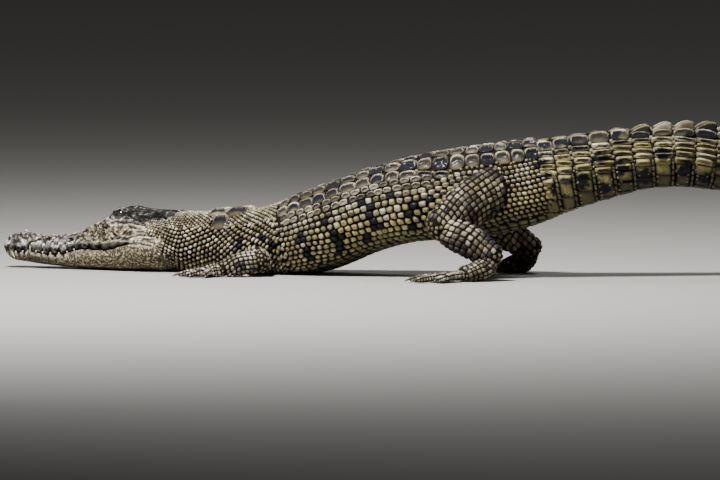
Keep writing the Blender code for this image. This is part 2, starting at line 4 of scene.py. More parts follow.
import bmesh
import bpy
import numpy as np
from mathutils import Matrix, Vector, kdtree


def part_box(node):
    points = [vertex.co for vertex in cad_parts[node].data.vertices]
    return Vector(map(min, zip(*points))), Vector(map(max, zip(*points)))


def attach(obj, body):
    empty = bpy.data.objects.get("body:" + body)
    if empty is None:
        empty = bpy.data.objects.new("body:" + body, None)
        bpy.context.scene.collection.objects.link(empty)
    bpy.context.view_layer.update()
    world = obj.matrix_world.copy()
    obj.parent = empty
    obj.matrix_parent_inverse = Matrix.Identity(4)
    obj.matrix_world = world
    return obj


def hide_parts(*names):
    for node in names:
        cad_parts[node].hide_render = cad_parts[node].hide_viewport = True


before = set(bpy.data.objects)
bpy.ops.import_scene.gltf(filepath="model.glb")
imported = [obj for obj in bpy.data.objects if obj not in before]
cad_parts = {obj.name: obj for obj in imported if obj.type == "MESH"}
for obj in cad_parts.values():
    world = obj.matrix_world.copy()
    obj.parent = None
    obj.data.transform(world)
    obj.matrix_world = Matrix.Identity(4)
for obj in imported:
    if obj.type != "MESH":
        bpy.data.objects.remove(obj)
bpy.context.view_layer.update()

# A young saltwater crocodile. Shapes are worked out in millimetres along the animal and
# turned into metres when a mesh is made.
up = np.array([0.0, 0.0, 1.0])
rng = np.random.default_rng(41)

head = {
    "tip": (-587.0, 317.0), "yaw": 22.0, "length": 308.5, "snoutRound": 20.0,
    # distance from the tip, middle height, then half width and height of crown, widest
    # part and lower edge, then the underside
    "stations": (
        (8, 54, 12, 51, 22, 41, 17, 22, 15), (24, 56.5, 13, 55.5, 26, 35, 21, 20, 11.5),
        (37, 60.5, 12, 57.5, 25, 36, 21, 19, 10), (52, 55.5, 13, 52, 21.5, 38, 21, 18, 8),
        (70, 55, 17, 51, 29, 35, 26, 15, 6), (92, 55.5, 20, 50, 34, 33, 30, 13, 4),
        (118, 57.5, 20, 53, 34, 35, 32, 11, 2.5), (165, 74, 25, 70, 45.5, 38, 42, 9, 0.5),
        (192, 82, 27, 85, 51.5, 42, 47, 9, 0), (210, 88, 29, 98, 56, 44, 51, 8, -0.6),
        (225, 92, 31, 103, 61, 45, 54, 8, -1), (241, 94, 33, 99.5, 65, 46, 57, 9, -1.2),
        (275, 94.5, 37, 96, 74, 46, 60, 10, -1.5), (300, 95, 39, 95.5, 71, 46, 58, 9, -1.5),
        (308.5, 95.5, 42, 89.6, 69, 47, 48.5, 9.6, -1.5)),
    # where the lips meet; behind the corner of the mouth the line runs on as a plain ring split
    "mouth": (
        (0, 31), (10, 28), (24, 26), (36, 27), (46, 29), (50.5, 34), (55, 29.5), (67, 28), (85, 26.3),
        (100, 26), (116, 26.5), (130, 31), (142, 34.5), (160, 36.5), (189, 35.5), (209, 37),
        (229, 43), (245, 46.5), (262, 47), (308.5, 47)),
    "mouthEnd": 250.0,
    "upperLumps": (9, 21, 34, 45.5, 58.5, 71, 86, 101, 117, 131, 144, 158, 179, 201, 219),
    "lowerLumps": (10, 19, 28.5, 38, 47, 57, 70, 82.5, 95.5, 110, 125, 139, 153, 167, 181),
    "ringSides": 224, "ringsPerMm": 0.76,
}
eye = {"place": (213.0, 25.0, 88.8), "ball": (218.5, 21.8, 89.8), "radius": 14.8,
       "middle": (218.8, 91.4), "halfLength": 14.4, "upperLid": 5.6, "lowerLid": 7.7}

# Spine: the middle of the body, then its reach up, down and sideways from there.
body = {
    "spine": (
        (-300, 200, 47, 49.5, 48, 69), (-256, 181, 48, 48, 49.5, 62),
        (-206, 160, 49, 50, 51, 66), (-162, 140, 52, 51.5, 54, 74),
        (-115, 120, 59, 57, 60, 81), (-66, 97, 71, 65.5, 66, 86), (0, 69, 97.5, 64.6, 64.6, 88),
        (66, 45, 119, 66, 66, 86), (132, 22, 132, 70, 70.5, 77.5), (198, 6.5, 140, 73, 73, 69),
        (264, -2, 152, 70, 69.5, 59.5), (330, -4, 169, 61.5, 62, 51),
        (396, -2, 183.5, 55.5, 55.5, 44.5), (478, 3.5, 196.5, 49.5, 49.5, 38),
        (561, 13, 195.5, 49.5, 49.5, 33), (635, 36, 178.5, 43, 43, 30),
        (709, 69, 145, 36, 36, 25), (784, 115, 102, 29.5, 29.5, 20),
        (850, 170, 64.5, 24, 24, 15.7), (907, 231, 39.5, 20, 20, 12.4),
        (957, 297, 25, 16.5, 16.5, 9), (993, 366, 14.5, 13, 15, 6.6),
        (1015, 437, 10, 10, 11.5, 4.6), (1023, 503, 6.5, 6.5, 7.5, 2.5)),
    "vent": 264.0, "inset": 1.3, "ringGap": 16.0, "whorlShift": -3.0,
    "whorlPitch": ((0, 22), (44, 24), (68, 26), (94, 32), (480, 32.5), (850, 24), (1080, 15)),
}

# Limb stations: forward, outward and upward places, half width and half height.
limbs = {
    "plan": {
        # base, angle, shift on each side, tubes
        "hand": ((-140.2, 130.4), 24.0, {"left": 10.0, "right": 26.0},
                 ("upperArm", "forearm", "wrist")),
        "foot": ((231.0, 2.0), 10.0, {"left": 0.0, "right": -24.0}, ("thigh", "shank", "heel"))},
    "upperArm": ((4, 42, 40, 24, 22), (-14, 82, 29, 20, 18), (-35, 118, 25, 18, 17)),
    "forearm": ((-35, 118, 25, 16, 16), (-10, 136, 21, 18, 18), (15, 150, 14, 13.5, 12.5)),
    "wrist": ((15, 150, 14, 11, 10), (26, 155, 11, 18, 11), (40, 163, 9, 20, 8)),
    "thigh": ((-6.6, 37.4, 150, 28, 40), (36, 76, 125, 28, 38), (78.9, 113.5, 90, 23, 27)),
    "shank": ((78.9, 113.5, 87, 19, 21), (38, 120, 67, 24, 26), (-4.8, 122, 43, 18, 19)),
    "heel": ((-5, 122, 40, 14, 15), (8, 132, 20, 20, 17), (32, 147, 12, 24, 12)),
    # angle and length of each digit, where they start and how far apart, thickness at both ends
    "digits": {"hand": ((-20, 34), (8, 45), (32, 48), (58, 43), (92, 35)),
               "foot": ((4, 64), (24, 80), (44, 86), (64, 74))},
    "root": {"hand": (30, 158, 9), "foot": (33, 148, 10)}, "spread": {"hand": 13.0, "foot": 20.0},
    "radii": {"hand": (6.5, 4.2), "foot": (7.5, 4.6)}, "web": {"hand": 0.45, "foot": 0.72},
    "clawLength": 14.0, "clawRadius": 3.2, "voxel": 0.0016, "kept": 0.22,
}


# eased step from 0 at low to 1 at high, and the same step downwards
def ease(value, low, high):
    t = np.clip((value - low) / (high - low), 0, 1)
    return t * t * (3 - 2 * t)


def fall(value, low, high):
    return ease(-value, -high, -low)


# up from 0 to 1 between the first two values, down again between the last two
def window(value, start, full, late, end):
    return ease(value, start, full) * fall(value, late, end)


# one at the middle, falling off as exp(-(distance in widths) to a power)
def bell(value, middle, width, power=2):
    return np.exp(-((value - middle) / width) ** power)


# vectors divided by their length
def unit(vectors, tiny=0.0):
    return vectors / (np.linalg.norm(vectors, axis=-1)[..., None] + tiny)


# distance walked along a chain of points
def walked(points):
    return np.concatenate([[0], np.cumsum(np.linalg.norm(np.diff(points, axis=0), axis=1))])


# points at shares of the way along a chain, and the chain's length
def spaced(chain, shares):
    reach = walked(chain)
    columns = [np.interp(shares * reach[-1], reach, column) for column in chain.T]
    return np.stack(columns, axis=1), reach[-1]


# rings round a centre line: x steps across and y steps upward from it
def ringsRound(centre, across, upward, x, y):
    return centre[:, None] + x[..., None] * across[:, None] + y[..., None] * upward[:, None]


# nothing lies below the floor
def aboveFloor(points):
    points[..., 2] = np.maximum(points[..., 2], 0)
    return points


# normals crossed from the steps round and along the rings, facing away from their middles
def facingOut(points, aroundStep, alongStep, tiny):
    normal = unit(np.cross(aroundStep, alongStep), tiny)
    outwards = ((points - points.mean(axis=1, keepdims=True)) * normal).sum() >= 0
    return normal if outwards else -normal


# natural cubic spline through the values, with a given slope at its start
def cubicThrough(knots, values, firstSlope, at):
    count = len(knots)
    step = np.diff(knots)
    rise = np.diff(values, axis=0) / step[:, None]
    matrix = np.zeros((count, count))
    wanted = np.zeros_like(values)
    matrix[0, :2] = 2 * step[0], step[0]
    wanted[0] = 6 * (rise[0] - firstSlope)
    for i in range(1, count - 1):
        matrix[i, i - 1:i + 2] = step[i - 1], 2 * (step[i - 1] + step[i]), step[i]
        wanted[i] = 6 * (rise[i] - rise[i - 1])
    matrix[-1, -1] = 1
    bend = np.linalg.solve(matrix, wanted)
    k = np.clip(np.searchsorted(knots, at) - 1, 0, count - 2)
    width = step[k][:, None]
    a = (knots[k + 1] - at)[:, None] / width
    b = 1 - a
    curve = a * values[k] + b * values[k + 1]
    return curve + ((a**3 - a) * bend[k] + (b**3 - b) * bend[k + 1]) * width**2 / 6


# monotone cubic: Hermite segments whose slopes are harmonic means, so it never overshoots
def smoothThrough(knots, values, at):
    knots = np.asarray(knots, float)
    values = np.asarray(values, float)
    at = np.clip(at, knots[0], knots[-1])
    step = np.diff(knots)[:, None]
    rise = np.diff(values, axis=0) / step
    before, after = rise[:-1], rise[1:]
    w1, w2 = 2 * step[1:] + step[:-1], step[1:] + 2 * step[:-1]
    turning = before * after <= 0
    slope = np.zeros_like(values)
    slope[1:-1] = np.where(turning, 0, (w1 + w2) / (w1 / np.where(turning, 1, before)
                                                    + w2 / np.where(turning, 1, after)))
    slope[0], slope[-1] = rise[0], rise[-1]
    k = np.clip(np.searchsorted(knots, at) - 1, 0, len(knots) - 2)
    h = step[k]
    t = (at - knots[k])[:, None] / h
    one = (1 + 2 * t) * (1 - t) ** 2 * values[k] + t * (1 - t) ** 2 * h * slope[k]
    return one + t**2 * (3 - 2 * t) * values[k + 1] + t**2 * (t - 1) * h * slope[k + 1]


# closed Catmull-Rom outline at even steps: half its corners, from top to bottom, are given and
# the others are their mirror image
def closedOutline(half, sides):
    corners = np.stack(half + [(-x, y) for x, y in half[-2:0:-1]]).transpose(2, 0, 1)
    count = corners.shape[1]
    place = np.arange(sides) * count / sides
    k = place.astype(int)
    t = (place - k)[:, None]
    p0, p1, p2, p3 = (corners[:, (k + step) % count] for step in (-1, 0, 1, 2))
    return 0.5 * (2 * p1 + (p2 - p0) * t + (2 * p0 - 5 * p1 + 4 * p2 - p3) * t**2
                  + (3 * p1 - p0 - 3 * p2 + p3) * t**3)


spine = np.array(body["spine"], float)
knots = walked(spine[:, :3])
bodyLength = knots[-1]
yaw = math.radians(head["yaw"])
headBack = np.array([math.cos(yaw), -math.sin(yaw), 0])
headLeft = np.array([-math.sin(yaw), -math.cos(yaw), 0])
ventAt = float(np.interp(body["vent"], spine[:, 0], knots))


# middle, backward, left and upward directions, and half sizes along the body
def spineAt(distance):
    distance = np.atleast_1d(np.asarray(distance, float))
    middle, after, before = (cubicThrough(knots, spine[:, :3], headBack, distance + step)
                             for step in (0, 0.5, -0.5))
    back = unit(after - before)
    left = unit(np.cross(back, up))
    return middle, back, left, np.cross(left, back), smoothThrough(knots, spine[:, 3:], distance)


# body sections: a smooth outline through eight corners scaled by the three half sizes
def bodyRings(distance, sides):
    middle, _, left, upward, size = spineAt(distance)
    above, below, wide = size.T
    zero = np.zeros_like(wide)
    outline = closedOutline([(zero, above), (0.62 * wide, 0.86 * above), (wide, zero),
                             (0.7 * wide, -0.78 * below), (zero, -below)], sides)
    return aboveFloor(ringsRound(middle, left, upward, outline[..., 0], outline[..., 1]))


# half width and height round the head at each distance from the tip
def headOutlines(t, count=192):
    t = np.asarray(t, float)
    table = np.array(head["stations"], float)
    top, wc, zc, wm, zm, wl, zl, bottom = smoothThrough(table[:, 0], table[:, 1:], t).T
    zero = np.zeros_like(top)
    outline = closedOutline([(zero, top), (wc, zc), (wm, zm), (wl, zl), (zero, bottom)], count)
    middle = np.stack([zero, (top + bottom) / 2], axis=1)[:, None]
    blunt = np.sqrt(1 - np.clip(1 - t / head["snoutRound"], 0, 1) ** 2)[:, None, None]
    return middle + (outline - middle) * blunt


# a place from its three steps along three directions
def stepped(start, steps, directions):
    one, two, three = (np.multiply.outer(step, way) for step, way in zip(steps, directions))
    return start + one + two + three


# place on the head: distance behind the tip, offset to the left, height
def headPoint(t, side, height):
    return stepped(np.array([*head["tip"], 0.0]), (t, side, height), (headBack, headLeft, up))


# forward, outward and upward places of a limb turned into the model's frame
def limbFrame(base, degrees, hand, shift):
    angle = math.radians(degrees)
    forward = np.array([-math.cos(angle), math.sin(angle), 0])
    outward = np.array([-math.sin(angle), -math.cos(angle), 0]) * hand
    start = np.array([*base, 0.0])

    def place(points):
        ahead, out, high = np.asarray(points, float).T
        return stepped(start, (ahead + shift, out, high), (forward, outward, up))

    return place


# distances of the tail's whorls: each starts one pitch behind the last
def whorlPlaces():
    at, pitch = np.array(body["whorlPitch"], float).T
    places = [0.0]
    while ventAt + places[-1] < bodyLength - 20:
        places.append(places[-1] + float(np.interp(places[-1], at, pitch)))
    return ventAt + body["whorlShift"] + np.array(places)


# hash of whole-number cells: fraction of a large sine
def cellHash(cell, seed):
    value = np.sin(cell[..., 0] * 127.1 + cell[..., 1] * 311.7 + cell[..., 2] * 74.7
                   + seed * 53.3) * 43758.5453
    return value - np.floor(value)


# value noise: eased blend of the eight corner hashes, from -1 to 1
def noise(points, scale, seed=0):
    p = np.asarray(points) / scale
    cell = np.floor(p)
    f = p - cell
    f = f * f * (3 - 2 * f)
    total = 0
    for step in np.ndindex(2, 2, 2):
        x, y, z = (f[..., k] if step[k] else 1 - f[..., k] for k in range(3))
        total = total + x * y * z * cellHash(cell + step, seed)
    return total * 2 - 1


# cell noise: distance to the nearest of the jittered cell points, and how much further the
# next one is
def cells(points, scale, seed=0):
    p = np.asarray(points) / scale
    base = np.floor(p)
    near = np.full(p.shape[:-1], 9.0)
    following = near.copy()
    for step in np.ndindex(3, 3, 3):
        c = base + np.subtract(step, 1)
        spot = c + np.stack([cellHash(c, seed + k) for k in (1, 2, 3)], axis=-1)
        gap = np.linalg.norm(spot - p, axis=-1)
        following = np.minimum(np.maximum(near, gap), following)
        near = np.minimum(near, gap)
    return following - near


# distance from 2-D points to a chain of straight pieces
def lineDistance(a, b, line):
    best = np.full(np.shape(a), 1e9)
    for (x0, y0), (x1, y1) in zip(line[:-1], line[1:]):
        dx, dy = x1 - x0, y1 - y0
        share = np.clip(((a - x0) * dx + (b - y0) * dy) / (dx * dx + dy * dy), 0, 1)
        best = np.minimum(best, np.hypot(a - x0 - share * dx, b - y0 - share * dy))
    return best


eyeLow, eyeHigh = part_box("eye_left")
millimetre = 0.001
shift = (np.array(eyeLow) + np.array(eyeHigh)) / 2 - headPoint(*eye["place"]) * millimetre


# a mesh object from points in millimetres and lists of four- and three-cornered faces
def makeObject(name, points, quads, tris, finish=None, values=None):
    quads, tris = np.reshape(quads, (-1, 4)), np.reshape(tris, (-1, 3))
    mesh = bpy.data.meshes.new(name)
    mesh.vertices.add(len(points))
    place = np.asarray(points) * millimetre + shift
    mesh.vertices.foreach_set("co", place.astype(np.float32).ravel())
    corners = np.concatenate([quads.ravel(), tris.ravel()]).astype(np.int32)
    sizes = np.repeat([4, 3], [len(quads), len(tris)]).astype(np.int32)
    mesh.loops.add(len(corners))
    mesh.loops.foreach_set("vertex_index", corners)
    mesh.polygons.add(len(sizes))
    mesh.polygons.foreach_set("loop_start", (np.cumsum(sizes) - sizes).astype(np.int32))
    mesh.polygons.foreach_set("loop_total", sizes)
    mesh.update(calc_edges=True)
    mesh.shade_smooth()
    for key, data in (values or {}).items():
        mesh.attributes.new(key, "FLOAT", "POINT").data.foreach_set("value", data.astype(np.float32))
    made = bpy.data.objects.new(name, mesh)
    bpy.context.scene.collection.objects.link(made)
    if finish:
        mesh.materials.append(finish)
    return made


# Markings, shared by the skin and the scales.
# distance behind the skull, share of the way down the side, half length and half height in mm
markings = {
    "blotches": (
        (146, 0.49, 7, 8), (188, 0.48, 8, 6), (204, 0.54, 6, 7), (258, 0.54, 12, 6), (260, 0.66, 7, 10),
        (304, 0.49, 6, 5), (316, 0.60, 7, 14), (304, 0.71, 7, 10), (376, 0.44, 7, 5),
        (384, 0.51, 6, 6), (386, 0.62, 10, 8), (360, 0.69, 8, 8), (428, 0.44, 7, 5),
        (454, 0.56, 8, 9), (446, 0.69, 8, 9), (484, 0.50, 7, 6), (656, 0.36, 9, 7),
        (660, 0.47, 9, 8), (668, 0.60, 8, 13), (710, 0.59, 14, 17), (746, 0.41, 14, 10),
        (742, 0.73, 13, 13), (776, 0.55, 15, 14), (818, 0.20, 16, 12), (812, 0.70, 15, 17),
        (848, 0.45, 15, 12), (890, 0.63, 16, 20), (916, 0.20, 16, 13), (924, 0.74, 16, 10)),
    "tailBand": 70.0, "tailFrom": 940.0, "farShift": 9.0,
}


# dark where an oval blotch's distance is under one, its edge broken by noise; the far side has
# its ovals moved a little, and past the last one the tail carries staggered bands. The tail's
# low sides are also darkened as painted shade.
def darkAt(s, down, hand, world):
    s = np.asarray(s, float)
    rough = noise(world, 9.0, 5) * 0.35 + noise(world, 3.5, 6) * 0.15
    reach = np.interp(s, knots, spine[:, 3]) * math.pi * 0.95
    dark = np.zeros_like(s)
    for k, (place, share, long, high) in enumerate(markings["blotches"]):
        move = np.where(hand > 0, 0.0, markings["farShift"] * math.sin(k * 2.3))
        gap = np.hypot((s - place - move) / long, (down - share) * reach / high)
        dark = np.maximum(dark, fall(gap + rough, 0.90, 1.12))
    start = markings["tailFrom"]
    wave = np.sin((s - start) / markings["tailBand"] * math.tau + np.floor(down * 3.2) * 2.1)
    bands = (ease(wave + rough * 1.3, 0.25, 0.65) * ease(s, start - 15, start + 5)
             * fall(down, 0.78, 0.86))
    back = (ease(noise(world, 26.0, 9) + rough, 0.18, 0.42) * fall(down, 0.24, 0.34)
            * ease(s, 40, 120))
    # painted shade: the low sides of the tail darkened as if in shadow
    low = 0.55 * ease(down, 0.58, 0.74) * ease(s, ventAt + 40, ventAt + 150)
    return np.clip(np.maximum.reduce([dark, bands, back * 0.85, low]), 0, 1)


# yellower low on the flank and on the tail's sides, plain cream underneath
def warmAt(s, down, world):
    low = ease(down, 0.38, 0.6) * (1 - 0.5 * ease(down, 0.78, 0.95))
    tail = ease(s, ventAt - 20, ventAt + 90) * ease(down, 0.16, 0.34)
    amount = 0.12 + 0.5 * low * ease(s, 150, 300) + 0.46 * tail
    return np.clip(amount * (1 + 0.7 * noise(world, 18, 3)), 0, 1)


# olive towards the belly and the tail's underside, partly the animal's own colour and partly
# painted shade on the low sides
def oliveAt(s, down):
    early = 0.10 * ease(s, ventAt, ventAt + 60)
    return ease(down + early, 0.62, 0.82) * ease(s, 190, 270) * 0.85


class Surface:
    # rings of points resampled evenly by arc length on each side of the top line, from -1
    # (bottom, right) through 0 (top) to 1 (bottom, left), with normals from crossed differences
    def __init__(self, rings, along, samples):
        rows, half = [], []
        shares = np.linspace(0, 1, samples)
        steps = np.arange(rings.shape[1] // 2 + 1)
        for ring in rings:
            left, leftReach = spaced(ring[steps], shares)
            right, rightReach = spaced(ring[-steps], shares)
            rows.append(np.concatenate([right[:0:-1], left]))
            half.append((leftReach + rightReach) / 2)
        self.points = np.array(rows)
        self.half = np.array(half)
        self.along = np.asarray(along, float)
        aroundStep = np.gradient(self.points, axis=1)
        aroundStep[:, 0] = aroundStep[:, -1] = (aroundStep[:, 0] + aroundStep[:, -1]) / 2
        self.normals = facingOut(self.points, aroundStep, np.gradient(self.points, axis=0), 1e-12)

    def halfAt(self, s):
        return np.interp(s, self.along, self.half)

    # bilinear lookup of place and normal at a distance and an arc length from the top
    def at(self, s, a):
        i = np.interp(s, self.along, np.arange(len(self.along)))
        middle = (self.points.shape[1] - 1) / 2
        j = (np.clip(a / self.halfAt(s), -1, 1) + 1) * middle
        i0 = np.clip(i.astype(int), 0, len(self.along) - 2)
        j0 = np.clip(j.astype(int), 0, self.points.shape[1] - 2)
        u, v = (i - i0)[..., None], (j - j0)[..., None]

        def read(table):
            return ((table[i0, j0] * (1 - u) + table[i0 + 1, j0] * u) * (1 - v)
                    + (table[i0, j0 + 1] * (1 - u) + table[i0 + 1, j0 + 1] * u) * v)

        return read(self.points), unit(read(self.normals), 1e-12)


bodyAlong = np.arange(0, bodyLength + 1.9, 2.0).clip(0, bodyLength)
# the body's surface starts on the rear of the head, where distances are negative
headAlong = np.arange(-64, -0.9, 2.0)
rear = headOutlines(headAlong + head["length"])
rearRings = headPoint(np.repeat(headAlong[:, None], rear.shape[1], 1) + head["length"],
                      rear[..., 0], rear[..., 1])
bodySurface = Surface(np.concatenate([rearRings, bodyRings(bodyAlong, rear.shape[1])]),
                      np.concatenate([headAlong, bodyAlong]), 129)
print("body surface", bodySurface.points.shape)


# limb tube: centre line through the stations, elliptical sections of their half sizes, and a
# rounded end
def limbRings(place, stations, steps=40, sides=48, floor=True):
    table = np.array(stations, float)
    middle = place(table[:, :3])
    reach = walked(middle)
    even = np.linspace(0, reach[-1], steps)
    line = smoothThrough(reach, np.concatenate([middle, table[:, 3:]], axis=1), even)
    centre, size = line[:, :3], line[:, 3:]
    back = unit(np.gradient(centre, axis=0))
    swell = np.sin(np.linspace(0.12, 1, 9) * math.pi / 2)
    taper = np.sqrt(np.clip(1 - swell**2, 0.0004, 1))
    centre = np.concatenate([centre, centre[-1] + np.outer(swell, back[-1]) * size[-1].min()])
    back = np.concatenate([back, np.repeat(back[-1:], len(swell), axis=0)])
    size = np.concatenate([size, np.outer(taper, size[-1])])
    across = unit(np.cross(back, up))
    turn = np.arange(sides) * math.tau / sides
    rings = ringsRound(centre, across, np.cross(across, back),
                       np.sin(turn)[None] * size[:, :1], np.cos(turn)[None] * size[:, 1:])
    return aboveFloor(rings) if floor else rings, walked(centre)


# closed skin over rings: quads between neighbouring rings and a fan at each end
def closeRings(rings):
    count, sides = rings.shape[:2]
    points = np.concatenate([rings.reshape(-1, 3), rings[[0, -1]].mean(axis=1)])
    i, j = np.meshgrid(np.arange(count - 1) * sides, np.arange(sides), indexing="ij")
    k = (j + 1) % sides
    quads = np.stack([i + j, i + k, i + sides + k, i + sides + j], axis=-1)
    j, k, last = j[0], k[0], (count - 1) * sides
    tris = np.concatenate([np.stack([k, j, 0 * j + last + sides], axis=1),
                           np.stack([last + j, last + k, 0 * j + last + sides + 1], axis=1)])
    return points, quads.reshape(-1, 4), tris


# several closed skins as one
def closeAll(many):
    parts, start = [], 0
    for points, quads, tris in map(closeRings, many):
        parts.append((points, quads + start, tris + start))
        start += len(points)
    return [np.concatenate(part) for part in zip(*parts)]


# a grid's values for a closed skin: those of the rings, then one for each end
def withEnds(grid, ends=None):
    return np.concatenate([grid.ravel(), grid[[0, -1]].mean(axis=1) if ends is None else ends])


def outward(made):
    shape = bmesh.new()
    shape.from_mesh(made.data)
    bmesh.ops.recalc_face_normals(shape, faces=shape.faces)
    if shape.calc_volume(signed=True) < 0:
        bmesh.ops.reverse_faces(shape, faces=shape.faces)
    shape.to_mesh(made.data)
    shape.free()
    return made


def settle(made):
    graph = bpy.context.evaluated_depsgraph_get()
    result = bpy.data.meshes.new_from_object(made.evaluated_get(graph))
    made.modifiers.clear()
    made.data = result


features = {
    # depth in mm, half width in mm, then places as distance from the tip and height
    "creases": (
        (1.0, 1.1, ((51.5, 43), (60, 46), (70.5, 49))),
        (0.9, 1.1, ((111, 45.7), (116, 51), (122, 56))),
        (0.9, 1.3, ((205, 79.4), (226, 79.9), (244, 80.3), (276.5, 75.7))),
        (1.1, 1.2, ((236, 92), (241.5, 89.8), (256.5, 83.8), (274, 78))),
        (1.4, 1.2, ((242.5, 75.3), (255, 71.8), (267, 71))),
        (1.3, 1.3, ((236, 52.3), (251, 56.8), (266, 61.3), (282.5, 61), (291.5, 58.7))),
        (0.7, 1.1, ((250.5, 46.5), (273, 47), (290, 44))),
        (0.3, 0.8, ((254, 50.5), (272, 52), (292, 50))),
        (0.7, 1.2, ((262, 66), (276, 66), (290, 64))),
        (0.6, 0.8, ((252, 95), (280, 95.2), (300, 95.5))),
        (0.7, 1.4, ((186, 47), (205, 52.5), (222, 54), (240, 56))),
    ),
    "ear": ((252, 92.3), (277.5, 90.6), (290, 92.6), (301, 92.6), (306, 88.5)),
    # distance and height of the middle, half length, half height and strength
    "shadows": ((232.5, 94.5, 4.2, 3.0, 0.9), (240, 97.8, 2.4, 1.5, 0.85), (290, 89.4, 14, 2.6, 0.9),
                (199, 84, 3.0, 2.2, 0.5), (311, 90.5, 9, 1.6, 0.8)),
    "notch": (50.5, 41.0, 2.3, 3.4),
    "nostril": (33.0, 5.5),
}


def headGrid():
    density = lambda t: 0.85 + 0.45 * bell(t, 30, 36) + 0.6 * bell(t, 220, 30)
    fine = np.linspace(0.35, head["length"], 3000)
    amount = np.concatenate([[0], np.cumsum(density(fine[:-1]) * np.diff(fine))])
    t = np.interp(np.linspace(0, amount[-1], int(amount[-1] * head["ringsPerMm"])), amount, fine)
    outlines = headOutlines(t, 384)
    mouth = np.array(head["mouth"], float)
    even = np.linspace(0, 1, head["ringSides"] // 4 + 1)
    closer = 1 - (1 - even) ** 1.12, even ** 1.15       # closer together towards the lip
    rows, bite = [], []
    for ring, z in zip(outlines, smoothThrough(mouth[:, 0], mouth[:, 1:], t)[:, 0]):
        line = ring[:outlines.shape[1] // 2 + 1]        # left half, top to bottom
        low, high, tall = line[:, 1].min(), line[:, 1].max(), np.ptp(line[:, 1])
        z = np.clip(z, low + 0.35 * tall, high - 0.2 * tall)
        below = np.nonzero(line[:, 1] < z)[0][0]
        share = (z - line[below - 1, 1]) / (line[below, 1] - line[below - 1, 1])
        cut = [line[below - 1] + share * (line[below] - line[below - 1])]
        upper, _ = spaced(np.concatenate([line[:below], cut]), closer[0])
        lower, _ = spaced(np.concatenate([cut, line[below:]]), closer[1])
        half = np.concatenate([upper, lower[1:]])
        rows.append(np.concatenate([half, half[-2:0:-1] * (-1, 1)]))
        bite.append(z)
    return t, np.array(rows), np.array(bite)


# a half circle over each lump, and the share of the way from its middle to the next gap
def lumpRow(t, places):
    places = np.array(places, float)
    gaps = np.diff(places) / 2
    before, after = np.concatenate([gaps[:1], gaps]), np.concatenate([gaps, gaps[-1:]])
    k = np.abs(t[..., None] - places).argmin(axis=-1)
    ahead = t - places[k]
    edge = np.abs(ahead) / np.where(ahead < 0, before[k], after[k])
    return np.sqrt(np.clip(1 - edge**2, 0, 1)), edge


